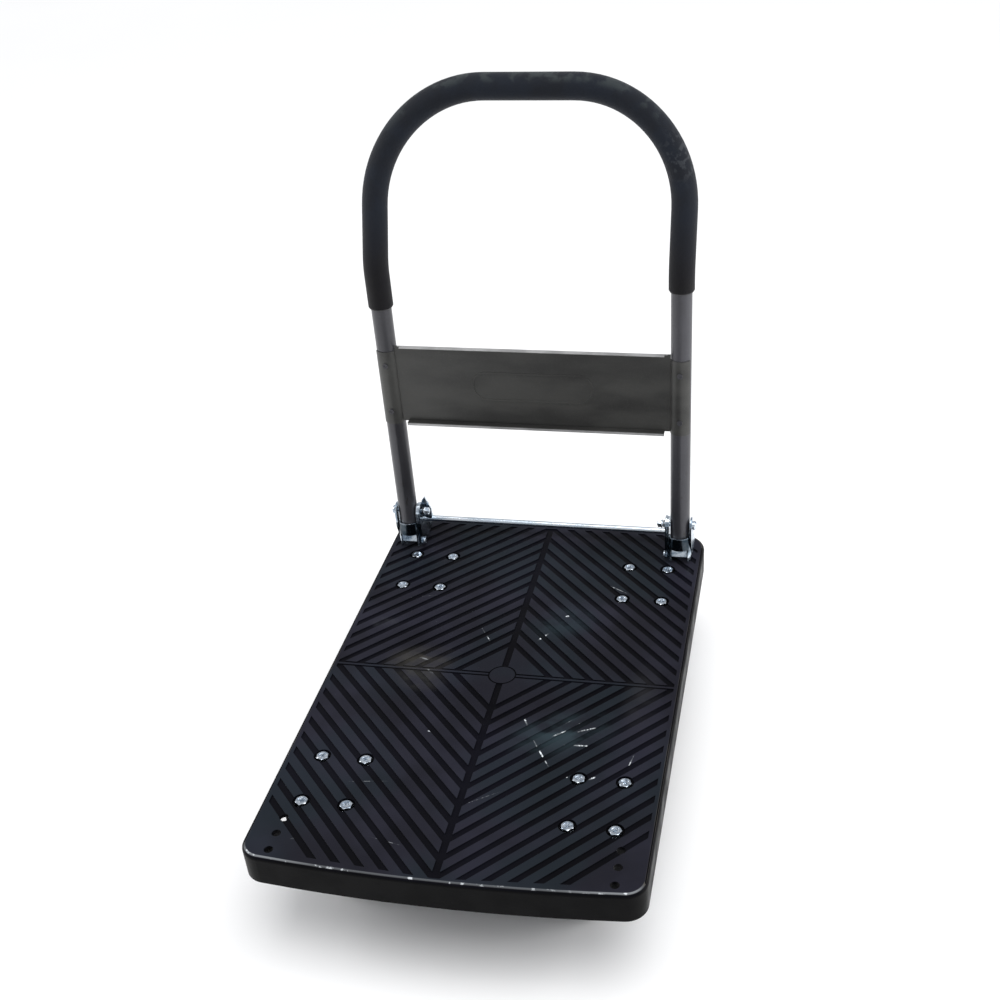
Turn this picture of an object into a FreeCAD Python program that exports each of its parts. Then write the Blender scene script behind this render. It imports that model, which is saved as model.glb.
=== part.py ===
import FreeCAD
import Part
import Sketcher
import math
import os
from FreeCAD import Rotation, Vector

# A folding platform cart: a ribbed plastic deck on two fixed and two swivel casters, with a
# tube handle that folds forward over the deck on two pressed hinge brackets. Millimetres,
# +X to the right as seen from the front, +Y back towards the handle, +Z up, floor at z = 0.

doc = FreeCAD.newDocument("PlatformCart")

SIZES = (
    # deck
    ("deck_width", 475, "deck, side to side"),
    ("deck_length", 740, "deck, front to back"),
    ("deck_rise", 35, "top of the deck above the caster plates"),
    ("deck_middle", -14.59, "middle of the deck, ahead of the origin"),
    ("skirt_height", 43, "height of the deck's skirt"),
    ("skirt_wall", 4, "wall of the skirt"),
    ("top_thickness", 6, "thickness of the deck's top"),
    ("front_bow_radius", 2350, "radius of the bowed front edge"),
    ("front_corner_radius", 27, "corner of the deck at the front"),
    ("rear_corner_radius", 38, "corner of the deck at the back"),
    ("top_edge_radius", 6, "rounding of the deck's top edge"),
    ("bottom_edge_radius", 1.5, "rounding of the skirt's lower edge"),
    ("trim_groove_inset", 3.4, "middle of the groove along each side edge, from the side"),
    ("trim_groove_width", 1.4, "width of that groove"),
    ("trim_groove_depth", 1.5, "depth of that groove below the top"),
    ("trim_groove_start", 1.15, "start of that groove behind the deck's front, in front corner radii"),
    # tread pattern
    ("tread_depth", 1.4, "depth of the grooves between the tread ribs"),
    ("tread_pitch_across", 27.2, "rib pitch measured across the deck"),
    ("tread_pitch_along", 29.3, "rib pitch measured along the deck"),
    ("tread_groove_share", 0.42, "share of the pitch that is groove"),
    ("tread_diamond", 60.5, "half width of the smooth diamond in the middle"),
    ("tread_side_margin", 9, "smooth border at the sides"),
    ("tread_front_margin", 6.5, "smooth border at the front"),
    ("tread_rear_margin", 9, "smooth border at the back"),
    ("tread_corner_cut", 75, "smooth triangle at each front corner"),
    ("spine_width", 9, "groove along the two axes of the deck"),
    ("spine_strip", 3.4, "raised strip inside the cross groove"),
    ("medallion_radius", 17, "round boss in the middle of the deck"),
    ("medallion_groove", 2, "width of the groove round it"),
    # underside
    ("rib_thickness", 3, "stiffening ribs under the deck"),
    ("rib_drop", 20, "depth of the stiffening ribs below the top's underside"),
    ("rib_pitch_across", 59, "spacing of the ribs that run front to back"),
    ("rib_pitch_along", 75, "spacing of the ribs that run side to side"),
    ("boss_width", 88, "caster boss, side to side"),
    ("boss_length", 114, "caster boss, front to back"),
    ("bracket_pad_drop", 14, "thickening under each hinge bracket"),
    # strap holes
    ("strap_hole_radius", 5.5, "strap holes at the front corners"),
    ("strap_hole_inset", 36.3, "strap holes from the deck's sides"),
    ("strap_hole_front", 23.8, "foremost strap hole from the front edge"),
    ("strap_hole_pitch", 26.4, "spacing of the strap holes"),
    ("strap_holes", 3, "strap holes at each front corner"),
    # casters
    ("caster_inset", 75.7, "caster plates from the deck's sides"),
    ("front_caster_setback", 146.5, "front caster plates from the front edge"),
    ("rear_caster_setback", 140, "rear caster plates from the back edge"),
    ("plate_width", 76, "caster plate, side to side"),
    ("plate_length", 102, "caster plate, front to back"),
    ("plate_thickness", 2.5, "caster plate"),
    ("plate_corner_radius", 8, "corners of the caster plate"),
    ("wheel_headroom", 25, "top of the caster plate above the wheel"),
    ("hole_pitch_across", 56, "bolt pattern, side to side"),
    ("hole_pitch_along", 80, "bolt pattern, front to back"),
    ("bolt_radius", 4, "caster bolts"),
    ("bolt_clearance", 0.3, "radial play of the caster bolts in their holes"),
    ("bolt_head_radius", 8, "caster bolt heads, across the corners"),
    ("bolt_head_height", 5.3, "caster bolt heads"),
    ("bolt_dish_radius", 5, "dish in a bolt head"),
    ("bolt_dish_depth", 0.7, "dish in a bolt head"),
    ("cross_width", 1.3, "cross recess in a bolt head"),
    ("cross_length", 7, "cross recess in a bolt head"),
    ("cross_depth", 1.8, "cross recess below the dish"),
    ("counterbore_radius", 11, "counterbores of the caster bolts"),
    ("counterbore_depth", 6.3, "counterbores of the caster bolts"),
    ("washer_radius", 9, "washers of the caster bolts"),
    ("washer_thickness", 1.2, "washers of the caster bolts"),
    ("nut_radius", 7.4, "caster nuts, across the corners"),
    ("nut_height", 6, "caster nuts"),
    ("bolt_tail", 1, "bolt end past its nut"),
    # wheels
    ("wheel_radius", 50, "wheel"),
    ("tyre_width", 30, "tyre"),
    ("tyre_thickness", 11, "tyre"),
    ("tyre_round", 5, "rounding of the tyre's shoulders"),
    ("rim_thickness", 4, "rim of the wheel core"),
    ("rim_shyness", 1, "rim inside the tyre's sides"),
    ("web_thickness", 5, "web of the wheel core"),
    ("wheel_rib_thickness", 3, "ribs of the wheel core"),
    ("wheel_ribs", 6, "ribs of the wheel core"),
    ("wheel_rib_shyness", 4, "ribs inside the rim's sides"),
    ("hub_radius", 13, "hub of the wheel core"),
    ("hub_width", 36, "hub of the wheel core"),
    ("seat_play", 0.1, "play of the tyre on its core"),
    ("sleeve_radius", 7, "sleeve that the wheel turns on"),
    ("sleeve_play", 0.08, "running play of the wheel on its sleeve"),
    ("axle_radius", 5, "axle bolt"),
    ("axle_play", 0.1, "play of the axle bolt in the fork"),
    ("axle_head_radius", 8.6, "axle bolt's head and nut, across the corners"),
    ("axle_head_height", 5.5, "axle bolt's head"),
    ("axle_nut_height", 7, "axle nut"),
    # forks
    ("fork_gap", 38, "inside width of a fork"),
    ("fork_thickness", 3, "sheet of a fork"),
    ("fork_half_length", 30, "half length of a fork's top"),
    ("fork_end_radius", 13, "round end of a fork's cheek at the axle"),
    ("fork_shoulder", 10, "upright edge of a fork's cheek under its top"),
    ("swivel_trail", 36, "axle behind the swivel's axis"),
    ("race_height", 10, "height of the swivel's two races"),
    ("race_gap", 0.3, "running gap between the races"),
    ("race_radius", 34, "upper race"),
    ("race_step", 2.5, "lower race smaller by this much"),
    ("kingpin_radius", 6, "kingpin"),
    ("kingpin_play", 0.08, "running play of the kingpin"),
    ("kingpin_head_radius", 10, "head of the kingpin"),
    ("kingpin_head_height", 5, "head of the kingpin"),
    # handle
    ("leg_inset", 33, "handle legs from the deck's sides"),
    ("leg_setback", 71, "handle legs from the deck's back edge"),
    ("tube_radius", 14, "handle tube"),
    ("tube_wall", 1.5, "handle tube"),
    ("leg_foot", 24, "lower end of the tube above the deck"),
    ("bend_height", 442.6, "bend of the legs above the deck"),
    ("bend_radius", 70, "bend of the legs"),
    ("lean_length", 223, "from the bend to the top bar"),
    ("lean_degrees", 21.9, "backward lean above the bend"),
    ("crown_radius", 146, "corners of the top bar"),
    ("grip_thickness", 3, "foam grip"),
    ("grip_play", 0.15, "play of the foam on the tube"),
    ("grip_end_left", 384, "left end of the grip above the deck"),
    ("grip_end_right", 417, "right end of the grip above the deck"),
    ("plug_flange", 2, "flange of the tube's end plug"),
    ("plug_depth", 14, "plug inside the tube"),
    ("plug_shyness", 0.2, "plug's flange smaller than the tube"),
    ("plug_play", 0.1, "play of the plug in the tube"),
    # panel
    ("panel_bottom", 216, "lower edge of the panel above the deck"),
    ("panel_height", 114, "height of the panel"),
    ("panel_sheet", 1, "sheet of the panel"),
    ("panel_forward", 6, "panel ahead of the legs' centre line"),
    ("panel_top_flange", 6.5, "flange along the panel's top"),
    ("panel_bottom_flange", 8, "flange along the panel's lower edge"),
    ("panel_lip", 3.5, "turned-down lip of the lower flange"),
    ("panel_end_notch", 8, "flanges end short of the legs"),
    ("sleeve_sheet_play", 0.15, "play of the panel's end sleeve on the leg"),
    ("tab_bottom", 213, "lower end of the panel's sleeves above the deck"),
    ("tab_height", 110, "height of the panel's sleeves"),
    ("tab_outer_degrees", 60, "sleeve past the front of the leg"),
    ("bead_length", 172, "pressed bead on the panel"),
    ("bead_height", 44, "pressed bead on the panel"),
    ("bead_width", 3, "width of the bead"),
    ("bead_proud", 0.8, "bead stands proud of the panel"),
    ("panel_screw_low", 233, "lower panel screws above the deck"),
    ("panel_screw_high", 303, "upper panel screws above the deck"),
    ("panel_screw_radius", 1.8, "panel screw shank"),
    ("panel_screw_head", 3.7, "panel screw head, radius"),
    ("panel_screw_height", 1.7, "panel screw head, height"),
    ("panel_screw_length", 6, "panel screw shank, length"),
    ("panel_screw_play", 0.1, "play of a panel screw in its hole"),
    ("panel_cross_width", 0.28, "cross recess of a panel screw: width, in head radii"),
    ("panel_cross_depth", 0.4, "cross recess of a panel screw: depth, in head heights"),
    # hinge brackets
    ("pivot_height", 60, "fold axis above the deck"),
    ("pivot_radius", 3, "pivot bolt"),
    ("pivot_play", 0.08, "running play on the pivot bolt"),
    ("bracket_play", 1.1, "gap between tube and bracket"),
    ("bracket_sheet", 2.5, "sheet of the bracket"),
    ("ear_radius", 12, "round ears of the bracket"),
    ("band_bottom", 24.5, "band round the tube's front, lower edge above the deck"),
    ("band_drop", 1.4, "band's upper edge below the folded tube"),
    ("foot_degrees", 30, "each front foot below the band, round the tube"),
    ("foot_start", 14, "feet start this far round from the sides"),
    ("foot_lift", 3, "lower end of the feet above the deck"),
    ("cheek_length", 46, "bracket cheeks behind the fold axis"),
    ("cheek_toe", 8, "height of the cheeks at their back end"),
    ("cheek_toe_round", 2, "rounding of the cheeks at their back end"),
    ("cheek_start", 2, "lower edge of the cheeks behind the fold axis"),
    ("cheek_nose", 9, "front corner of the cheeks before the fold axis"),
    ("cheek_nose_rise", 12, "front corner of the cheeks above the band's lower edge"),
    ("cheek_nose_round", 3, "rounding of that corner"),
    ("base_sheet", 2.5, "base of the bracket between its cheeks"),
    ("deck_screw_back", 32, "bracket screws behind the fold axis"),
    ("deck_screw_across", 8, "bracket screws from the leg's centre line"),
    ("deck_screw_radius", 2.5, "bracket screw shank"),
    ("deck_screw_head", 5, "bracket screw head, radius"),
    ("deck_screw_height", 3, "bracket screw head, height"),
    ("deck_screw_length", 14, "bracket screw shank, length"),
    ("deck_screw_play", 0.1, "play of a bracket screw in its hole"),
    ("deck_cross_width", 0.26, "cross recess of a bracket screw: width, in head radii"),
    ("deck_cross_depth", 0.6, "cross recess of a bracket screw: depth, in head heights"),
    ("screw_cross_length", 1.2, "cross recess of the screws: length, in head radii"),
    ("pivot_washer_radius", 6, "washers on the pivot bolt"),
    ("pivot_washer_sheet", 1.5, "washers on the pivot bolt"),
    ("pivot_head_radius", 6.6, "pivot bolt's round head"),
    ("pivot_head_height", 4.5, "pivot bolt's round head"),
    ("pivot_dome", 0.7, "rounding of the pivot bolt's head, in head heights"),
    ("pivot_nut_radius", 5.8, "pivot nut, across the corners"),
    ("pivot_nut_height", 5, "pivot nut"),
    ("pivot_tail", 1.3, "pivot bolt past its nut"),
    # foot latch
    ("latch_gap", 0.3, "running gaps beside the latch arms"),
    ("latch_sheet", 3, "latch arms"),
    ("latch_pin_back", -4, "latch pin behind the fold axis"),
    ("latch_pin_height", 10, "latch pin above the deck"),
    ("latch_pin_radius", 3, "latch pin"),
    ("latch_pin_head", 5, "head of the latch pin, radius"),
    ("latch_pin_head_height", 2, "head of the latch pin"),
    ("latch_lobe_radius", 6.5, "latch arm round its pin"),
    ("rod_back", 46, "foot rod behind the fold axis"),
    ("rod_height", 18, "foot rod above the deck"),
    ("rod_radius", 4.5, "foot rod"),
    ("rod_lobe_radius", 8, "latch arm round the foot rod"),
    ("latch_ear_radius", 13, "latch arm round the pivot bolt"),
    ("latch_travel_degrees", 8, "travel of the foot latch"),
    ("latch_slot_play", 0.5, "play of the pivot bolt in the latch arm's slot"),
    ("horn_back", 9, "left arm's horn flange behind the fold axis"),
    ("horn_rise", 16.5, "tip of the horn above the fold axis"),
    ("horn_reach", 12, "horn flange, from the arm's face towards the middle"),
    ("horn_tip_reach", 6, "tip of the horn, from the arm's face towards the middle"),
    ("horn_drop", 16, "lower edge of the horn flange below the fold axis"),
    ("horn_shoulder", 2, "shoulder of the horn flange below the fold axis"),
    ("horn_root_rise", 12, "root of the horn above the fold axis"),
    ("horn_corner", 3, "corners of the horn flange"),
    ("horn_tip_round", 1, "rounding of the horn's tip"),
    ("catch_radius", 3, "catch stub on the latch arm"),
    ("catch_degrees", 24.7, "catch stub behind the line straight below the fold axis"),
    ("catch_play", 0.6, "catch stub clear of the swing of the tube's end"),
    ("catch_length", 11, "catch stub, from the arm into the bracket"),
    ("catch_window_radius", 6.5, "window in the cheek for the catch stub"),
    ("spring_radius", 5, "coil of the latch spring, to the wire's middle"),
    ("spring_wire", 0.7, "radius of the spring's wire"),
    ("spring_turns", 1.5, "turns of the spring"),
    ("spring_pitch", 1.6, "pitch of the spring"),
    # solids that cut or join
    ("overrun", 1, "how far a cutter runs past the face it opens, and a joined solid bites into the next"),
)

sheet = doc.addObject("Spreadsheet::Sheet", "Sizes")
for row, (alias, number, note) in enumerate(SIZES, start=1):
    sheet.set(f"A{row}", note)
    sheet.set(f"B{row}", str(number))
    sheet.setAlias(f"B{row}", alias)
doc.recompute()


class Size:
    """A dimension: its value now, and the expression that ties it to the spreadsheet."""

    def __init__(self, text, value):
        self.text = text
        self.value = value

    @staticmethod
    def of(amount):
        return amount if isinstance(amount, Size) else Size(repr(float(amount)), float(amount))

    def __add__(self, other):
        other = Size.of(other)
        return Size(f"({self.text} + {other.text})", self.value + other.value)

    def __sub__(self, other):
        other = Size.of(other)
        return Size(f"({self.text} - {other.text})", self.value - other.value)

    def __rsub__(self, other):
        return Size.of(other) - self

    def __mul__(self, other):
        other = Size.of(other)
        return Size(f"({self.text} * {other.text})", self.value * other.value)

    def __truediv__(self, other):
        other = Size.of(other)
        return Size(f"({self.text} / {other.text})", self.value / other.value)

    def __neg__(self):
        return self * -1

    __radd__ = __add__
    __rmul__ = __mul__


def size(alias):
    return Size(f"Sizes.{alias}", float(sheet.get(alias)))


def bind(thing, path, amount):
    """Tie one property of an object to the spreadsheet."""
    thing.setExpression(path, Size.of(amount).text)


# --- building blocks -------------------------------------------------------------------------

TOUCH = 0.01  # two faces or edges closer than this are in one place
over = size("overrun")

ALONG = {
    "x": Rotation(Vector(0, 1, 0), 90),
    "y": Rotation(Vector(1, 0, 0), -90),
    "z": Rotation(),
}


def place(thing, at, rotation=Rotation()):
    thing.Placement.Rotation = rotation
    for letter, amount in zip("xyz", at):
        bind(thing, f"Placement.Base.{letter}", amount)
    return thing


def box(name, sides, at):
    """A box from its lowest corner."""
    block = doc.addObject("Part::Box", name)
    for path, amount in zip(("Length", "Width", "Height"), sides):
        bind(block, path, amount)
    return place(block, at)


def centred_box(name, sides, centre):
    """A box centred on a point in X and Y, standing on that point in Z."""
    corner = (centre[0] - Size.of(sides[0]) / 2, centre[1] - Size.of(sides[1]) / 2, centre[2])
    return box(name, sides, corner)


def cylinder(name, radius, length, at, along="z", sector=360, turn=0):
    """A cylinder from the middle of its first end; a sector starts turn degrees round from +X."""
    drum = doc.addObject("Part::Cylinder", name)
    bind(drum, "Radius", radius)
    bind(drum, "Height", length)
    bind(drum, "Angle", sector)
    return place(drum, at, ALONG[along] * Rotation(Vector(0, 0, 1), turn))


def hexagon(name, radius, length, at, along="z"):
    prism = doc.addObject("Part::Prism", name)
    prism.Polygon = 6
    bind(prism, "Circumradius", radius)
    bind(prism, "Height", length)
    return place(prism, at, ALONG[along])


def fuse(name, shapes):
    joined = doc.addObject("Part::MultiFuse", name)
    joined.Shapes = shapes
    joined.Refine = True
    return joined


def cut(name, base, tools):
    carved = doc.addObject("Part::Cut", name)
    carved.Base = base
    carved.Tool = tools[0] if len(tools) == 1 else fuse(name + "Tools", tools)
    carved.Refine = True
    return carved


def common(name, first, second):
    shared = doc.addObject("Part::Common", name)
    shared.Base = first
    shared.Tool = second
    return shared


def ring(name, outer, inner, length, at, along="z", sector=360, turn=0):
    hole_at = list(at)
    body = cylinder(name + "Outer", outer, length, at, along, sector, turn)
    bore = cylinder(name + "Bore", inner, length, hole_at, along)
    return cut(name, body, [bore])


def span(side, inner, outer):
    """Start along X and length of a piece between two distances from the centre line."""
    start = inner if side > 0 else -outer
    return start, outer - inner


def belt(circles):
    """Outline drawn tight round circles (u, v, radius), given anticlockwise; radius 0 is a corner."""
    normals = []
    for here, there in zip(circles, circles[1:] + circles[:1]):
        run = math.hypot(there[0] - here[0], there[1] - here[1])
        heading = math.atan2(there[1] - here[1], there[0] - here[0])
        normals.append(heading - math.acos((here[2] - there[2]) / run))

    def rim(circle, angle):
        return Vector(circle[0] + circle[2] * math.cos(angle), circle[1] + circle[2] * math.sin(angle), 0)

    outline = []
    for index, circle in enumerate(circles):
        before = normals[index - 1]
        after = normals[index]
        following = circles[(index + 1) % len(circles)]
        if circle[2] > 0:
            middle = before + ((after - before) % (2 * math.pi)) / 2
            outline.append(Part.Arc(rim(circle, before), rim(circle, middle), rim(circle, after)))
        outline.append(Part.LineSegment(rim(circle, after), rim(following, after)))
    return outline


def origin_plane(body, role):
    return next(feature for feature in body.Origin.OriginFeatures if feature.Role == role)


def sketch_on(body, role, name, offset):
    sketch = body.newObject("Sketcher::SketchObject", name)
    sketch.AttachmentSupport = [(origin_plane(body, role), "")]
    sketch.MapMode = "FlatFace"
    bind(sketch, "AttachmentOffset.Base.z", offset)
    return sketch


def pad(body, sketch, name, length):
    extrusion = body.newObject("PartDesign::Pad", name)
    extrusion.Profile = sketch
    bind(extrusion, "Length", length)
    return extrusion


def plate(name, role, offset, thickness, outline, holes=()):
    """A flat plate on an origin plane: a belt round circles, with round holes and belt-shaped slots."""
    body = doc.addObject("PartDesign::Body", name)
    sketch = sketch_on(body, role, name + "Sketch", offset)
    numbers = [tuple(Size.of(amount).value for amount in circle) for circle in outline]
    sketch.addGeometry(belt(numbers), False)
    for hole in holes:
        rims = [tuple(Size.of(amount).value for amount in circle) for circle in hole]
        if len(rims) == 1:
            u, v, radius = rims[0]
            sketch.addGeometry([Part.Circle(Vector(u, v, 0), Vector(0, 0, 1), radius)], False)
        else:
            sketch.addGeometry(belt(rims), False)
    pad(body, sketch, name + "Pad", thickness)
    return body


def node(thing, label):
    """Name a finished sub-part; the label names its file."""
    thing.Label = label
    nodes.append(thing)
    return thing


nodes = []
SIDES = (("left", -1), ("right", 1))

# --- places worked out from the sizes --------------------------------------------------------

plate_top = size("wheel_radius") * 2 + size("wheel_headroom")
plate_bottom = plate_top - size("plate_thickness")
deck_top = plate_top + size("deck_rise")
deck_front = size("deck_middle") - size("deck_length") / 2
deck_back = size("deck_middle") + size("deck_length") / 2
skirt_bottom = deck_top - size("skirt_height")
top_underside = deck_top - size("top_thickness")
leg_x = size("deck_width") / 2 - size("leg_inset")
leg_y = deck_back - size("leg_setback")
pivot_z = deck_top + size("pivot_height")
caster_x = size("deck_width") / 2 - size("caster_inset")
caster_y = {
    "front": deck_front + size("front_caster_setback"),
    "rear": deck_back - size("rear_caster_setback"),
}
CORNERS = [(end, name, side) for end in ("front", "rear") for name, side in SIDES]


# --- deck ------------------------------------------------------------------------------------

def deck_prism(name, inset, bottom, height):
    """The deck's plan outline, moved in by inset and padded upwards, with its corners rounded."""
    body = doc.addObject("PartDesign::Body", name)
    bind(body, "Placement.Base.y", size("deck_middle"))
    sketch = sketch_on(body, "XY_Plane", name + "Sketch", bottom)
    inset = Size.of(inset)
    half = size("deck_width") / 2 - inset
    reach = size("deck_length") / 2 - inset
    bow = size("front_bow_radius") - inset
    centre_y = bow - reach
    corner_y = centre_y.value - math.sqrt(bow.value ** 2 - half.value ** 2)
    front_right = Vector(half.value, corner_y, 0)
    rear_right = Vector(half.value, reach.value, 0)
    rear_left = Vector(-half.value, reach.value, 0)
    front_left = Vector(-half.value, corner_y, 0)
    sketch.addGeometry([
        Part.Arc(front_left, Vector(0, -reach.value, 0), front_right),
        Part.LineSegment(front_right, rear_right),
        Part.LineSegment(rear_right, rear_left),
        Part.LineSegment(rear_left, front_left),
    ], False)
    sketch.addConstraint([
        Sketcher.Constraint("Coincident", 0, 2, 1, 1),
        Sketcher.Constraint("Coincident", 1, 2, 2, 1),
        Sketcher.Constraint("Coincident", 2, 2, 3, 1),
        Sketcher.Constraint("Coincident", 3, 2, 0, 1),
        Sketcher.Constraint("Vertical", 1),
        Sketcher.Constraint("Vertical", 3),
        Sketcher.Constraint("Horizontal", 2),
        Sketcher.Constraint("PointOnObject", 0, 3, -2),
    ])
    driving = (
        ("bow", Sketcher.Constraint("Radius", 0, bow.value), bow),
        ("reach", Sketcher.Constraint("DistanceY", -1, 1, 1, 2, reach.value), reach),
        ("half_right", Sketcher.Constraint("DistanceX", -1, 1, 1, 2, half.value), half),
        ("width", Sketcher.Constraint("DistanceX", 2, 2, 1, 2, 2 * half.value), half * 2),
        ("centre", Sketcher.Constraint("DistanceY", -1, 1, 0, 3, centre_y.value), centre_y),
    )
    for label, constraint, amount in driving:
        index = sketch.addConstraint(constraint)
        sketch.renameConstraint(index, label)
        bind(sketch, f"Constraints.{label}", amount)
    solid = pad(body, sketch, name + "Pad", height)
    doc.recompute()
    for end, radius in (("front", size("front_corner_radius")), ("rear", size("rear_corner_radius"))):
        corners = []
        for index, edge in enumerate(solid.Shape.Edges, start=1):
            upright = abs(edge.tangentAt(edge.FirstParameter).z) > 1 - TOUCH
            middle = edge.CenterOfMass
            if upright and abs(middle.x) > half.value - TOUCH and (middle.y < 0) == (end == "front"):
                corners.append(f"Edge{index}")
        rounded = body.newObject("PartDesign::Fillet", f"{name}{end.title()}Corners")
        rounded.Base = (solid, corners)
        bind(rounded, "Radius", radius - inset)
        doc.recompute()
        solid = rounded
    return body, solid


def round_rim(body, solid, name, height, radius):
    """Round the edges of a prism's rim that lies at one height."""
    edges = [f"Edge{index}" for index, edge in enumerate(solid.Shape.Edges, start=1)
             if max(abs(edge.BoundBox.ZMin - height.value), abs(edge.BoundBox.ZMax - height.value)) < TOUCH]
    rounded = body.newObject("PartDesign::Fillet", name)
    rounded.Base = (solid, edges)
    bind(rounded, "Radius", radius)
    doc.recompute()
    return rounded


def tread_grooves():
    """The grooves between the tread ribs: concentric diamonds, clipped to the four quarters."""
    across = size("tread_pitch_across").value
    along = size("tread_pitch_along").value
    share = size("tread_groove_share").value
    depth = size("tread_depth").value
    spine = size("spine_width").value / 2
    half = size("deck_width").value / 2 - size("tread_side_margin").value
    reach = {
        -1: size("deck_length").value / 2 - size("tread_front_margin").value,
        1: size("deck_length").value / 2 - size("tread_rear_margin").value,
    }
    bow = size("front_bow_radius").value
    corner = size("tread_corner_cut").value
    floor = deck_top.value - depth
    first = size("tread_diamond").value / across

    def prism(points):
        wire = Part.makePolygon([Vector(x, y, floor) for x, y in points + points[:1]])
        return Part.Face(wire).extrude(Vector(0, 0, 2 * depth))

    grooves = []
    for side_x in (-1, 1):
        for side_y in (-1, 1):
            far = reach[side_y]
            sag = bow - math.sqrt(bow ** 2 - half ** 2) if side_y < 0 else 0
            quarter = [(spine, spine), (half, spine)]
            if side_y < 0:
                quarter += [(half, far - sag - corner), (half - corner, far - sag)]
            else:
                quarter += [(half, far - corner / 2), (half - corner / 2, far)]
            quarter += [(spine, far)]
            region = prism([(side_x * x, side_y * y) for x, y in quarter])
            step = first
            while step < half / across + far / along:
                inner, outer = step, step + share
                strip = [(inner * across, 0), (outer * across, 0), (0, outer * along), (0, inner * along)]
                groove = prism([(side_x * x, side_y * y) for x, y in strip]).common(region)
                grooves += groove.Solids
                step += 1
    cutter = doc.addObject("Part::Feature", "TreadGrooves")
    cutter.Shape = Part.makeCompound(grooves)
    bind(cutter, "Placement.Base.y", size("deck_middle"))
    return cutter


def spine_grooves():
    """Grooves along the two axes of the deck, from the round boss to the borders."""
    floor = deck_top - size("tread_depth")
    rim = size("medallion_radius") + size("medallion_groove")
    start = rim - size("medallion_groove") / 2
    wide = size("spine_width")
    middle = size("deck_middle")
    depth = size("tread_depth") * 2
    front_run = size("deck_length") / 2 - size("tread_front_margin") - start
    rear_run = size("deck_length") / 2 - size("tread_rear_margin") - start
    side_run = size("deck_width") / 2 - size("tread_side_margin") - start
    slot = (wide - size("spine_strip")) / 2
    pieces = [
        box("SpineFront", (wide, front_run, depth), (-wide / 2, middle - start - front_run, floor)),
        box("SpineRear", (wide, rear_run, depth), (-wide / 2, middle + start, floor)),
    ]
    for name, side in SIDES:
        start_x = span(side, start, start + side_run)[0]
        for row, low in (("Fore", middle - wide / 2), ("Aft", middle + wide / 2 - slot)):
            pieces.append(box(f"Spine{name}{row}", (side_run, slot, depth), (start_x, low, floor)))
    pieces.append(ring("MedallionGroove", rim, size("medallion_radius"), depth, (0, middle, floor)))
    return pieces


def bolt_places(end, side):
    """The four bolts of one caster plate."""
    x = caster_x * side
    y = caster_y[end]
    across = size("hole_pitch_across") / 2
    along = size("hole_pitch_along") / 2
    return [(x + across * i, y + along * j) for i in (-1, 1) for j in (-1, 1)]


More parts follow.
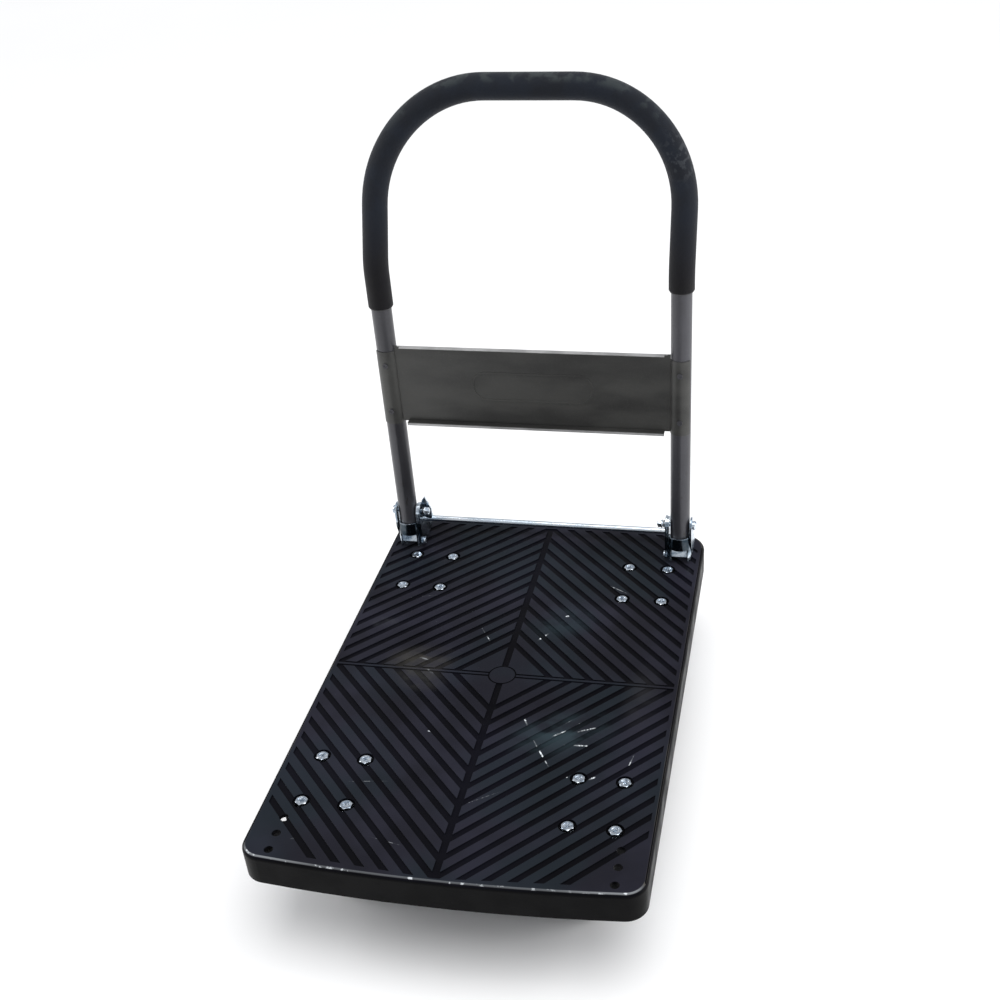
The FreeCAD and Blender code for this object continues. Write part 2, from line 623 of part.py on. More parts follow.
def make_deck():
    middle = size("deck_middle")
    body, solid = deck_prism("DeckShell", 0, skirt_bottom, size("skirt_height"))
    solid = round_rim(body, solid, "DeckTopEdge", deck_top, size("top_edge_radius"))
    round_rim(body, solid, "DeckBottomEdge", skirt_bottom, size("bottom_edge_radius"))

    wall = size("skirt_wall")
    inside = size("skirt_height") - size("top_thickness") + over
    cavity, _ = deck_prism("DeckCavity", wall, skirt_bottom - over, inside)
    shell = cut("DeckShellHollow", body, [cavity])

    # stiffening ribs, caster bosses and bracket pads under the top, clipped inside the skirt
    thin = size("rib_thickness")
    rib_z = top_underside - size("rib_drop")
    rib_depth = size("rib_drop") + over
    stiffeners = []
    lanes = int(size("deck_width").value / 2 / size("rib_pitch_across").value)
    for lane in range(-lanes + 1, lanes):
        x = size("rib_pitch_across") * lane
        stiffeners.append(centred_box(f"RibAlong{lane + lanes}", (thin, size("deck_length"), rib_depth),
                                      (x, middle, rib_z)))
    rows = int(size("deck_length").value / 2 / size("rib_pitch_along").value)
    for row in range(-rows, rows + 1):
        y = middle + size("rib_pitch_along") * row
        stiffeners.append(centred_box(f"RibAcross{row + rows}", (size("deck_width"), thin, rib_depth),
                                      (0, y, rib_z)))
    strap_rib_y = deck_front + size("strap_hole_front") + size("strap_hole_pitch") / 2
    stiffeners.append(centred_box("RibAtStraps", (size("deck_width"), thin, rib_depth),
                                  (0, strap_rib_y, rib_z)))
    for end, name, side in CORNERS:
        stiffeners.append(centred_box(f"Boss{end}{name}",
                                      (size("boss_width"), size("boss_length"),
                                       top_underside - plate_top + over),
                                      (caster_x * side, caster_y[end], plate_top)))
    pad_width = (size("tube_radius") + size("bracket_play") + size("bracket_sheet")) * 2
    pad_drop = size("bracket_pad_drop")
    for name, side in SIDES:
        stiffeners.append(centred_box(f"BracketPad{name}", (pad_width, size("cheek_length"), pad_drop + over),
                                      (leg_x * side, leg_y + size("cheek_length") / 2,
                                       top_underside - pad_drop)))
    clip, _ = deck_prism("RibClip", wall / 2, skirt_bottom, inside)
    ribs = common("DeckRibs", fuse("DeckRibGrid", stiffeners), clip)
    whole = fuse("DeckWhole", [shell, ribs])

    # tread, bolt holes with counterbores, strap holes and bracket screw holes
    tools = [tread_grooves()] + spine_grooves()
    trim_start = size("front_corner_radius") * size("trim_groove_start")
    trim_length = size("deck_length") - trim_start - size("rear_corner_radius")
    for name, side in SIDES:
        tools.append(centred_box(f"TrimGroove{name}",
                                 (size("trim_groove_width"), trim_length, size("trim_groove_depth") * 2),
                                 ((size("deck_width") / 2 - size("trim_groove_inset")) * side,
                                  deck_front + trim_start + trim_length / 2,
                                  deck_top - size("trim_groove_depth"))))
    hole_radius = size("bolt_radius") + size("bolt_clearance")
    for end, name, side in CORNERS:
        for number, (x, y) in enumerate(bolt_places(end, side), start=1):
            tag = f"{end}{name}{number}"
            tools.append(cylinder(f"BoltHole{tag}", hole_radius, deck_top - plate_top + over * 2,
                                  (x, y, plate_top - over)))
            tools.append(cylinder(f"Counterbore{tag}", size("counterbore_radius"),
                                  size("counterbore_depth") + over,
                                  (x, y, deck_top - size("counterbore_depth"))))
    for name, side in SIDES:
        x = (size("deck_width") / 2 - size("strap_hole_inset")) * side
        for number in range(int(size("strap_holes").value)):
            y = deck_front + size("strap_hole_front") + size("strap_hole_pitch") * number
            tools.append(cylinder(f"StrapHole{name}{number}", size("strap_hole_radius"),
                                  size("top_thickness") + over * 2, (x, y, top_underside - over)))
        for number, offset in enumerate((-1, 1)):
            x = leg_x * side + size("deck_screw_across") * offset
            tools.append(cylinder(f"ScrewHole{name}{number}",
                                  size("deck_screw_radius") + size("deck_screw_play"),
                                  size("deck_screw_length") + over,
                                  (x, leg_y + size("deck_screw_back"), deck_top - size("deck_screw_length"))))
    node(cut("DeckCarved", whole, tools), "deck")


# --- caster bolts, plates, forks and wheels --------------------------------------------------

def cross_recess(tag, x, y, top, length, width, depth):
    low = top - depth
    return [
        centred_box(f"CrossA{tag}", (length, width, depth + over), (x, y, low)),
        centred_box(f"CrossB{tag}", (width, length, depth + over), (x, y, low)),
    ]


def make_caster_bolts(end, name, side):
    """Hexagon bolts with dished, cross-recessed heads on washers in the deck's counterbores."""
    seat = deck_top - size("counterbore_depth")
    head_z = seat + size("washer_thickness")
    head_top = head_z + size("bolt_head_height")
    tail_z = plate_bottom - size("washer_thickness") - size("nut_height") - size("bolt_tail")
    bolts, washers, recesses, nuts, bores = [], [], [], [], []
    for number, (x, y) in enumerate(bolt_places(end, side), start=1):
        tag = f"{end}{name}{number}"
        bolts.append(cylinder(f"Shank{tag}", size("bolt_radius"), head_z - tail_z + over, (x, y, tail_z)))
        bolts.append(hexagon(f"Head{tag}", size("bolt_head_radius"), size("bolt_head_height"),
                             (x, y, head_z)))
        dish_z = head_top - size("bolt_dish_depth")
        recesses.append(cylinder(f"Dish{tag}", size("bolt_dish_radius"), size("bolt_dish_depth") + over,
                                 (x, y, dish_z)))
        recesses += cross_recess(f"Bolt{tag}", x, y, dish_z, size("cross_length"), size("cross_width"),
                                 size("cross_depth"))
        under = plate_bottom - size("washer_thickness")
        for level, low in (("Top", seat), ("Low", under)):
            washers.append(cylinder(f"{level}Washer{tag}", size("washer_radius"), size("washer_thickness"),
                                    (x, y, low)))
        nuts.append(hexagon(f"Nut{tag}", size("nut_radius"), size("nut_height"),
                            (x, y, under - size("nut_height"))))
        bores.append(cylinder(f"NutBore{tag}", size("bolt_radius") + size("seat_play"),
                              head_z - tail_z + over, (x, y, tail_z)))
    heads = cut(f"CasterBolts{end}{name}", fuse(f"BoltBlanks{end}{name}", bolts), recesses)
    node(heads, f"caster_bolts_{end}_{name}")
    rings = cut(f"CasterNuts{end}{name}", fuse(f"NutBlanks{end}{name}", nuts + washers), bores)
    node(rings, f"caster_nuts_{end}_{name}")


def make_caster_plate(end, name, side):
    x = caster_x * side
    y = caster_y[end]
    across = size("plate_width") / 2 - size("plate_corner_radius")
    along = size("plate_length") / 2 - size("plate_corner_radius")
    corners = ((-1, -1), (1, -1), (1, 1), (-1, 1))
    outline = [(x + across * i, y + along * j, size("plate_corner_radius")) for i, j in corners]
    hole = size("bolt_radius") + size("bolt_clearance")
    holes = [[(bolt_x, bolt_y, hole)] for bolt_x, bolt_y in bolt_places(end, side)]
    flat = plate(f"Plate{end}{name}", "XY_Plane", plate_bottom, size("plate_thickness"), outline, holes)
    if end == "rear":
        drop = (size("race_height") - size("race_gap")) / 2
        race = cylinder(f"UpperRace{name}", size("race_radius"), drop, (x, y, plate_bottom - drop))
        flat = fuse(f"PlateWithRace{name}", [flat, race])
    node(flat, f"caster_plate_{end}_{name}")


def make_fork(end, name, side):
    """A pressed fork; the swivel one trails behind its kingpin and carries the lower race."""
    x = caster_x * side
    y = caster_y[end]
    swivel = end == "rear"
    top = plate_bottom - size("race_height") if swivel else plate_bottom
    axle_y = y + size("swivel_trail") if swivel else y
    sheet_width = size("fork_thickness")
    gap = size("fork_gap") / 2
    length = size("fork_half_length")
    round_end = size("fork_end_radius")
    cheek = [
        (axle_y, size("wheel_radius"), round_end),
        (y + length, top - size("fork_shoulder"), 0),
        (y + length, top, 0),
        (y - length, top, 0),
        (y - length, top - size("fork_shoulder"), 0),
    ]
    bore = [[(axle_y, size("wheel_radius"), size("axle_radius") + size("axle_play"))]]
    pieces = [
        plate(f"ForkOuter{end}{name}", "YZ_Plane", x + gap, sheet_width, cheek, bore),
        plate(f"ForkInner{end}{name}", "YZ_Plane", x - gap - sheet_width, sheet_width, cheek, bore),
        centred_box(f"ForkTop{end}{name}", ((gap + sheet_width) * 2, length * 2, sheet_width),
                    (x, y, top - sheet_width)),
    ]
    if swivel:
        height = (size("race_height") - size("race_gap")) / 2
        pieces.append(cylinder(f"LowerRace{name}", size("race_radius") - size("race_step"), height,
                               (x, y, top)))
        bored = fuse(f"ForkBlank{name}", pieces)
        hole = cylinder(f"KingpinBore{name}", size("kingpin_radius") + size("kingpin_play"),
                        size("race_height") + sheet_width * 2, (x, y, top - sheet_width - over))
        node(cut(f"Fork{end}{name}", bored, [hole]), f"caster_fork_{end}_{name}")
        head_top = top - sheet_width - size("race_gap")
        head_z = head_top - size("kingpin_head_height")
        pin = cylinder(f"KingpinShank{name}", size("kingpin_radius"), plate_bottom - head_top + over - height,
                       (x, y, head_top - over))
        head = cylinder(f"KingpinHead{name}", size("kingpin_head_radius"), size("kingpin_head_height"),
                        (x, y, head_z))
        node(fuse(f"Kingpin{name}", [pin, head]), f"kingpin_{name}")
    else:
        node(fuse(f"Fork{end}{name}", pieces), f"caster_fork_{end}_{name}")


def make_wheel(end, name, side):
    x = caster_x * side
    y = caster_y[end] + size("swivel_trail") if end == "rear" else caster_y[end]
    z = size("wheel_radius")
    tag = f"{end}{name}"
    core_radius = z - size("tyre_thickness")
    width = size("tyre_width")

    # tyre with rounded shoulders
    blank = cylinder(f"TyreBlank{tag}", z, width, (x - width / 2, y, z), "x")
    doc.recompute()
    shoulders = doc.addObject("Part::Fillet", f"TyreRound{tag}")
    shoulders.Base = blank
    rims = [index for index, edge in enumerate(blank.Shape.Edges, start=1) if edge.isClosed()
            and edge.BoundBox.XLength < TOUCH]
    shoulders.Edges = [(index, size("tyre_round").value, size("tyre_round").value) for index in rims]
    bore = cylinder(f"TyreBore{tag}", core_radius + size("seat_play"), width + over * 2,
                    (x - width / 2 - over, y, z), "x")
    node(cut(f"Tyre{tag}", shoulders, [bore]), f"wheel_tyre_{end}_{name}")

    # moulded core: rim, web, hub and radial ribs
    hub = size("hub_width")
    web = size("web_thickness")
    rim_width = width - size("rim_shyness") * 2
    rim_inner = core_radius - size("rim_thickness")
    pieces = [
        ring(f"Rim{tag}", core_radius, rim_inner, rim_width, (x - rim_width / 2, y, z), "x"),
        cylinder(f"Web{tag}", rim_inner + over, web, (x - web / 2, y, z), "x"),
        cylinder(f"Hub{tag}", size("hub_radius"), hub, (x - hub / 2, y, z), "x"),
    ]
    rib_count = int(size("wheel_ribs").value)
    rib_width = rim_width - size("wheel_rib_shyness") * 2
    for number in range(rib_count):
        rib = doc.addObject("Part::Box", f"WheelRib{tag}{number}")
        bind(rib, "Length", rib_width)
        bind(rib, "Width", size("wheel_rib_thickness"))
        bind(rib, "Height", rim_inner + over - size("hub_radius") / 2)
        turn = Rotation(Vector(1, 0, 0), 360 / rib_count * number)
        start = turn.multVec(Vector(0, -size("wheel_rib_thickness").value / 2, size("hub_radius").value / 2))
        place(rib, (x - rib_width / 2, y + start.y, z + start.z), turn)
        pieces.append(rib)
    hole = cylinder(f"HubBore{tag}", size("sleeve_radius") + size("sleeve_play"), hub + over * 2,
                    (x - hub / 2 - over, y, z), "x")
    node(cut(f"Core{tag}", fuse(f"CoreBlank{tag}", pieces), [hole]), f"wheel_core_{end}_{name}")

    # sleeve between the fork's cheeks, axle bolt and nut
    gap = size("fork_gap")
    node(ring(f"Sleeve{tag}", size("sleeve_radius"), size("axle_radius") + size("axle_play"), gap,
              (x - gap / 2, y, z), "x"), f"wheel_sleeve_{end}_{name}")
    reach = gap / 2 + size("fork_thickness")
    nut = size("axle_nut_height")
    head = size("axle_head_height")
    tail = size("bolt_tail")
    head_start = x + reach if side > 0 else x - reach - head
    nut_start = x - reach - nut if side > 0 else x + reach
    shank_start = nut_start - tail if side > 0 else x - reach - over
    shank_length = reach * 2 + nut + tail + over
    node(fuse(f"Axle{tag}", [
        cylinder(f"AxleShank{tag}", size("axle_radius"), shank_length, (shank_start, y, z), "x"),
        hexagon(f"AxleHead{tag}", size("axle_head_radius"), head, (head_start, y, z), "x"),
        hexagon(f"AxleNut{tag}", size("axle_head_radius"), nut, (nut_start, y, z), "x"),
    ]), f"wheel_axle_{end}_{name}")


# --- handle ----------------------------------------------------------------------------------

def rounded_path(points, radii):
    """Straight runs through the points, joined by tangent arcs at the inner points."""
    edges = []
    start = points[0]
    for index in range(1, len(points) - 1):
        corner = points[index]
        back = (points[index - 1] - corner).normalize()
        ahead = (points[index + 1] - corner).normalize()
        half_turn = (math.pi - back.getAngle(ahead)) / 2
        reach = radii[index - 1] * math.tan(half_turn)
        enter = corner + back * reach
        leave = corner + ahead * reach
        inward = (back + ahead).normalize()
        depth = radii[index - 1] / math.cos(half_turn) - radii[index - 1]
        edges.append(Part.LineSegment(start, enter).toShape())
        edges.append(Part.Arc(enter, corner + inward * depth, leave).toShape())
        start = leave
    edges.append(Part.LineSegment(start, points[-1]).toShape())
    return Part.Wire(edges)


def handle_path(left_end, right_end):
    """Centre line of the handle, from one leg's end over the top to the other's."""
    x = leg_x.value
    y = leg_y.value
    bend = deck_top.value + size("bend_height").value
    lean = math.radians(size("lean_degrees").value)
    top_y = y + size("lean_length").value * math.sin(lean)
    top_z = bend + size("lean_length").value * math.cos(lean)
    points = [
        Vector(-x, y, left_end), Vector(-x, y, bend), Vector(-x, top_y, top_z),
        Vector(x, top_y, top_z), Vector(x, y, bend), Vector(x, y, right_end),
    ]
    bend_radius = size("bend_radius").value
    crown = size("crown_radius").value
    return rounded_path(points, [bend_radius, crown, crown, bend_radius])


def pipe(path, radius):
    start = path.OrderedVertexes[0].Point
    rim = Part.Wire(Part.Circle(start, Vector(0, 0, 1), radius).toShape())
    return path.makePipeShell([rim], True, False)


def make_handle():
    foot = deck_top + size("leg_foot")
    path = handle_path(foot.value, foot.value)
    radius = size("tube_radius").value
    blank = doc.addObject("Part::Feature", "TubeBlank")
    blank.Shape = pipe(path, radius).cut(pipe(path, radius - size("tube_wall").value))
    holes = []
    reach = size("tube_radius") + over * 2
    for name, side in SIDES:
        x = leg_x * side
        holes.append(cylinder(f"PivotHole{name}", size("pivot_radius") + size("pivot_play"), reach * 2,
                              (x - reach, leg_y, pivot_z), "x"))
        for level in ("low", "high"):
            holes.append(cylinder(f"PanelHole{name}{level}",
                                  size("panel_screw_radius") + size("panel_screw_play"), reach,
                                  (x, leg_y - reach, deck_top + size(f"panel_screw_{level}")), "y"))
    node(cut("HandleTube", blank, holes), "handle_tube")

    grip = doc.addObject("Part::Feature", "Grip")
    path = handle_path((deck_top + size("grip_end_left")).value, (deck_top + size("grip_end_right")).value)
    inner = radius + size("grip_play").value
    grip.Shape = pipe(path, radius + size("grip_thickness").value).cut(pipe(path, inner))
    node(grip, "grip")

    plugs = []
    flange = size("plug_flange")
    for name, side in SIDES:
        x = leg_x * side
        plugs.append(cylinder(f"PlugFlange{name}", size("tube_radius") - size("plug_shyness"), flange,
                              (x, leg_y, foot - flange)))
        plugs.append(cylinder(f"PlugBody{name}", size("tube_radius") - size("tube_wall") - size("plug_play"),
                              size("plug_depth") + over, (x, leg_y, foot - over)))
    node(fuse("TubePlugs", plugs), "tube_plugs")


def make_panel():
    sheet_width = size("panel_sheet")
    bottom = deck_top + size("panel_bottom")
    top = bottom + size("panel_height")
    face_y = leg_y - size("panel_forward") - sheet_width / 2
    inner = size("tube_radius") + size("sleeve_sheet_play")
    outer = inner + sheet_width
    middle = (inner.value + outer.value) / 2
    join = math.asin(size("panel_forward").value / middle)
    half = leg_x - middle * math.cos(join)
    short = half - size("panel_end_notch")
    lower = bottom - size("panel_lip") - sheet_width
    front = face_y - size("panel_bottom_flange")
    pieces = [
        box("PanelWeb", (half * 2, sheet_width, size("panel_height") + sheet_width),
            (-half, face_y, bottom - sheet_width)),
        box("PanelTopFlange", (short * 2, size("panel_top_flange") + sheet_width, sheet_width),
            (-short, face_y - size("panel_top_flange"), top - sheet_width)),
        box("PanelBottomFlange", (short * 2, size("panel_bottom_flange") + sheet_width, sheet_width),
            (-short, front, bottom - sheet_width)),
        box("PanelLip", (short * 2, sheet_width, size("panel_lip") + sheet_width), (-short, front, lower)),
    ]
    sleeve_sector = size("tab_outer_degrees") + 90 - math.degrees(join)
    tab_z = deck_top + size("tab_bottom")
    for name, side in SIDES:
        x = leg_x * side
        turn = 180 + math.degrees(join) if side > 0 else 270 - size("tab_outer_degrees").value
        pieces.append(ring(f"PanelSleeve{name}", outer, inner, size("tab_height"), (x, leg_y, tab_z),
                           sector=sleeve_sector, turn=turn))

    # pressed bead: a long rounded ring standing proud of the face
    bead_z = (bottom + top) / 2
    bead_rings = []
    for label, inset in (("Outer", 0), ("Inner", size("bead_width"))):
        radius = size("bead_height") / 2 - inset
        reach = size("bead_length") / 2 - size("bead_height") / 2
        bead_rings.append(plate(f"Bead{label}", "XZ_Plane", -face_y - sheet_width / 2,
                                size("bead_proud") + sheet_width / 2,
                                [(-reach, bead_z, radius), (reach, bead_z, radius)]))
    pieces.append(cut("Bead", bead_rings[0], [bead_rings[1]]))
    blank = fuse("PanelBlank", pieces)
    holes, screws, recesses = [], [], []
    seat_y = leg_y - outer
    head = size("panel_screw_height")
    for name, side in SIDES:
        x = leg_x * side
        for level in ("low", "high"):
            z = deck_top + size(f"panel_screw_{level}")
            holes.append(cylinder(f"SleeveHole{name}{level}",
                                  size("panel_screw_radius") + size("panel_screw_play"),
                                  (sheet_width + over) * 2, (x, seat_y - over, z), "y"))
            screws.append(cylinder(f"ScrewHead{name}{level}", size("panel_screw_head"), head,
                                   (x, seat_y - head, z), "y"))
            screws.append(cylinder(f"ScrewShank{name}{level}", size("panel_screw_radius"),
                                   size("panel_screw_length"), (x, seat_y - over / 2, z), "y"))
            long = size("panel_screw_head") * size("screw_cross_length")
            narrow = size("panel_screw_head") * size("panel_cross_width")
            cross_y = seat_y - head * 2 + head * size("panel_cross_depth")
            for label, wide, tall in (("A", long, narrow), ("B", narrow, long)):
                recesses.append(box(f"ScrewCross{label}{name}{level}", (wide, head, tall),
                                    (x - wide / 2, cross_y, z - tall / 2)))
    node(cut("Panel", blank, holes), "panel")
    node(cut("PanelScrews", fuse("PanelScrewBlanks", screws), recesses), "panel_screws")


# --- hinge brackets and foot latch -----------------------------------------------------------

def catch_centre():
    """Y and Z of the catch stubs, just outside the circle that the tube's end plug swings through."""
    drop = pivot_z - deck_top - size("leg_foot") + size("plug_flange")
    swing = math.hypot(drop.value, (size("tube_radius") - size("plug_shyness")).value)
    distance = swing + size("catch_radius").value + size("catch_play").value
    angle = math.radians(size("catch_degrees").value)
    return leg_y + distance * math.sin(angle), pivot_z - distance * math.cos(angle)


def make_bracket(name, side):
    """A pressed bracket: band round the tube's front on two feet, cheeks with ears, and a base."""
    x = leg_x * side
    inner = size("tube_radius") + size("bracket_play")
    sheet_width = size("bracket_sheet")
    outer = inner + sheet_width
    band_z = deck_top + size("band_bottom")
    band_top = pivot_z - size("tube_radius") - size("band_drop")
    pieces = [ring(f"Band{name}", outer, inner, band_top - band_z, (x, leg_y, band_z),
                   sector=180, turn=180)]
    for label, turn in (("A", 180 + size("foot_start").value),
                        ("B", 360 - size("foot_start").value - size("foot_degrees").value)):
        pieces.append(ring(f"Foot{label}{name}", outer, inner, size("band_bottom") + over - size("foot_lift"),
                           (x, leg_y, deck_top + size("foot_lift")), sector=size("foot_degrees"), turn=turn))
    length = size("cheek_length")
    cheek = [
        (leg_y + size("cheek_start"), deck_top, 0),
        (leg_y + length, deck_top, 0),
        (leg_y + length - size("cheek_toe_round"), deck_top + size("cheek_toe"), size("cheek_toe_round")),
        (leg_y, pivot_z, size("ear_radius")),
        (leg_y - size("cheek_nose"), band_z + size("cheek_nose_rise"), size("cheek_nose_round")),
    ]
    pivot = [(leg_y, pivot_z, size("pivot_radius") + size("pivot_play"))]
    pin = [(leg_y + size("latch_pin_back"), deck_top + size("latch_pin_height"), size("latch_pin_radius"))]
    window = [catch_centre() + (size("catch_window_radius"),)]
    outward = x + inner if side > 0 else x - outer
    inward = x - outer if side > 0 else x + inner
    pieces.append(plate(f"CheekOutside{name}", "YZ_Plane", outward, sheet_width, cheek, [pivot]))
    pieces.append(plate(f"CheekInside{name}", "YZ_Plane", inward, sheet_width, cheek, [pivot, window]))
    base = box(f"Base{name}", (outer * 2, length - size("cheek_start") * 2, size("base_sheet")),
               (x - outer, leg_y + size("cheek_start"), deck_top))
    screw_y = leg_y + size("deck_screw_back")
    holes, screws, recesses = [], [], []
    for number, offset in enumerate((-1, 1)):
        screw_x = x + size("deck_screw_across") * offset
        tag = f"{name}{number}"
        seat = deck_top + size("base_sheet")
        holes.append(cylinder(f"BaseHole{tag}", size("deck_screw_radius") + size("deck_screw_play"),
                              size("base_sheet") + over * 2, (screw_x, screw_y, deck_top - over)))
        screws.append(cylinder(f"DeckScrewHead{tag}", size("deck_screw_head"), size("deck_screw_height"),
                               (screw_x, screw_y, seat)))
        screws.append(cylinder(f"DeckScrewShank{tag}", size("deck_screw_radius"), size("deck_screw_length"),
                               (screw_x, screw_y, seat + over / 2 - size("deck_screw_length"))))
        recesses += cross_recess(f"Deck{tag}", screw_x, screw_y, seat + size("deck_screw_height"),
                                 size("deck_screw_head") * size("screw_cross_length"),
                                 size("deck_screw_head") * size("deck_cross_width"),
                                 size("deck_screw_height") * size("deck_cross_depth"))
    pieces.append(cut(f"BaseDrilled{name}", base, holes))
    node(fuse(f"Bracket{name}", pieces), f"hinge_bracket_{name}")
    node(cut(f"BracketScrews{name}", fuse(f"BracketScrewBlanks{name}", screws), recesses),
         f"bracket_screws_{name}")


def make_pivot(name, side):
    """Pivot bolt with a domed head outside, and the spring, washer and nut inside."""
    x = leg_x
    cheek = size("tube_radius") + size("bracket_play") + size("bracket_sheet")
    sheet_width = size("pivot_washer_sheet")
    head_from = x + cheek + sheet_width
    spring_room = size("spring_turns") * size("spring_pitch") + size("spring_wire") * 2
    arm_inner = x - cheek - size("latch_gap") - size("latch_sheet")
    washer_outer = arm_inner - size("latch_gap") * 2 - spring_room
    nut_outer = washer_outer - sheet_width
    nut_inner = nut_outer - size("pivot_nut_height")
    tail = nut_inner - size("pivot_tail")
    radius = size("pivot_radius")

    def along(label, maker, size_radius, inner, outer):
        start, length = span(side, inner, outer)
        return maker(f"{label}{name}", size_radius, length, (start, leg_y, pivot_z), "x")

    head_to = head_from + size("pivot_head_height")
    head = along("PivotHead", cylinder, size("pivot_head_radius"), head_from, head_to)
    doc.recompute()
    dome = doc.addObject("Part::Fillet", f"PivotDome{name}")
    dome.Base = head
    far = head_to.value * side
    rims = [index for index, edge in enumerate(head.Shape.Edges, start=1)
            if abs(edge.BoundBox.XMin - far) < TOUCH and abs(edge.BoundBox.XMax - far) < TOUCH]
    rounding = (size("pivot_head_height") * size("pivot_dome")).value
    dome.Edges = [(index, rounding, rounding) for index in rims]
    shank = along("PivotShank", cylinder, radius, tail, head_from + over)
    node(fuse(f"PivotBolt{name}", [dome, shank]), f"pivot_bolt_{name}")

    bore = along("PivotNutBore", cylinder, radius + size("seat_play"), tail - over, head_from + over * 2)
    rings = [
        along("OuterWasher", cylinder, size("pivot_washer_radius"), x + cheek, head_from),
        along("InnerWasher", cylinder, size("pivot_washer_radius"), nut_outer, washer_outer),
        along("PivotNut", hexagon, size("pivot_nut_radius"), nut_inner, nut_outer),
    ]
    node(cut(f"PivotNuts{name}", fuse(f"PivotRings{name}", rings), [bore]), f"pivot_nuts_{name}")

    # torsion spring round the bolt, between the latch arm and the inner washer
    wire = size("spring_wire").value
    pitch = size("spring_pitch").value
    coil_radius = size("spring_radius").value
    helix = Part.makeHelix(pitch, pitch * size("spring_turns").value, coil_radius)
    rim = Part.Wire(Part.Circle(Vector(coil_radius, 0, 0), Vector(0, 1, 0), wire).toShape())
    coil = doc.addObject("Part::Feature", f"Spring{name}")
    coil.Shape = Part.Wire(helix.Edges).makePipeShell([rim], True, True)
    start = washer_outer + size("latch_gap") + wire
    start_x = start if side > 0 else -start - pitch * size("spring_turns").value
    place(coil, (start_x, leg_y, pivot_z), ALONG["x"])
    node(coil, f"latch_spring_{name}")


def make_latch_arm(name, side):
    """Latch arm: turns on its pin, slotted round the pivot bolt, with a catch stub at its edge."""
    cheek = size("tube_radius") + size("bracket_play") + size("bracket_sheet")
    face = leg_x - cheek - size("latch_gap")
    start, thickness = span(side, face - size("latch_sheet"), face)
    pin_y = leg_y + size("latch_pin_back")
    pin_z = deck_top + size("latch_pin_height")
    rod_y = leg_y + size("rod_back")
    rod_z = deck_top + size("rod_height")
    outline = [
        (pin_y, pin_z, size("latch_lobe_radius")),
        (rod_y, rod_z, size("rod_lobe_radius")),
        (leg_y, pivot_z, size("latch_ear_radius")),
    ]
    pin_hole = [(pin_y, pin_z, size("latch_pin_radius") + size("pivot_play"))]
    travel = math.radians(size("latch_travel_degrees").value)
    reach = Vector((leg_y - pin_y).value, (pivot_z - pin_z).value, 0)
    swung = Rotation(Vector(0, 0, 1), math.degrees(travel)).multVec(reach)
    slot_radius = size("pivot_radius") + size("latch_slot_play")
    slot = [(pin_y + swung.x, pin_z + swung.y, slot_radius), (leg_y, pivot_z, slot_radius)]
    arm = plate(f"Arm{name}", "YZ_Plane", start, thickness, outline, [pin_hole, slot])
    pieces = [arm]
    if side < 0:
        # flange bent inwards behind the nut, rising to a point
        root = start + thickness / 2
        low = pivot_z - size("horn_drop")
        horn = [
            (root, low, 0),
            (start + size("horn_reach"), low, size("horn_corner")),
            (start + size("horn_reach"), pivot_z - size("horn_shoulder"), size("horn_corner")),
            (start + size("horn_tip_reach"), pivot_z + size("horn_rise"), size("horn_tip_round")),
            (root, pivot_z + size("horn_root_rise"), 0),
        ]
        pieces.append(plate(f"Horn{name}", "XZ_Plane", -leg_y - size("horn_back") - size("latch_sheet"),
                            size("latch_sheet"), horn))
    stub_start, stub_length = span(side, face - over, face + size("catch_length"))
    pieces.append(cylinder(f"Catch{name}", size("catch_radius"), stub_length,
                           (stub_start,) + catch_centre(), "x"))
    node(fuse(f"LatchArm{name}", pieces), f"latch_arm_{name}")

    head = size("latch_pin_head_height")
    inner_face = face - size("latch_sheet") - size("latch_gap")
    shank_start, shank_length = span(side, inner_face - over / 2, face + size("latch_gap"))
    head_start, head_length = span(side, inner_face - head, inner_face)
    node(fuse(f"LatchPin{name}", [
        cylinder(f"PinShank{name}", size("latch_pin_radius"), shank_length, (shank_start, pin_y, pin_z), "x"),
        cylinder(f"PinHead{name}", size("latch_pin_head"), head_length, (head_start, pin_y, pin_z), "x"),
    ]), f"latch_pin_{name}")


def make_latch_rod():
    cheek = size("tube_radius") + size("bracket_play") + size("bracket_sheet")
    half = leg_x - cheek - size("latch_gap") - size("latch_sheet")
    node(cylinder("LatchRod", size("rod_radius"), half * 2,
                  (-half, leg_y + size("rod_back"), deck_top + size("rod_height")), "x"), "latch_rod")


make_deck()
for end, name, side in CORNERS:
    make_caster_bolts(end, name, side)
    make_caster_plate(end, name, side)
    make_fork(end, name, side)
    make_wheel(end, name, side)
make_handle()
make_panel()
for name, side in SIDES:
    make_bracket(name, side)
    make_pivot(name, side)
    make_latch_arm(name, side)
make_latch_rod()
doc.recompute()

# --- checks and export -----------------------------------------------------------------------

failed = [thing.Label for thing in doc.Objects if "Invalid" in thing.State or "Error" in thing.State]
failed += [thing.Label for thing in nodes if thing.Shape.isNull() or not thing.Shape.isValid()]
if failed:
    raise RuntimeError("not built: " + ", ".join(failed))
os.makedirs("parts", exist_ok=True)
for thing in nodes:
    thing.Shape.exportStep(f"parts/{thing.Label}.step")
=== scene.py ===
import math
import bpy
from mathutils import Matrix, Vector


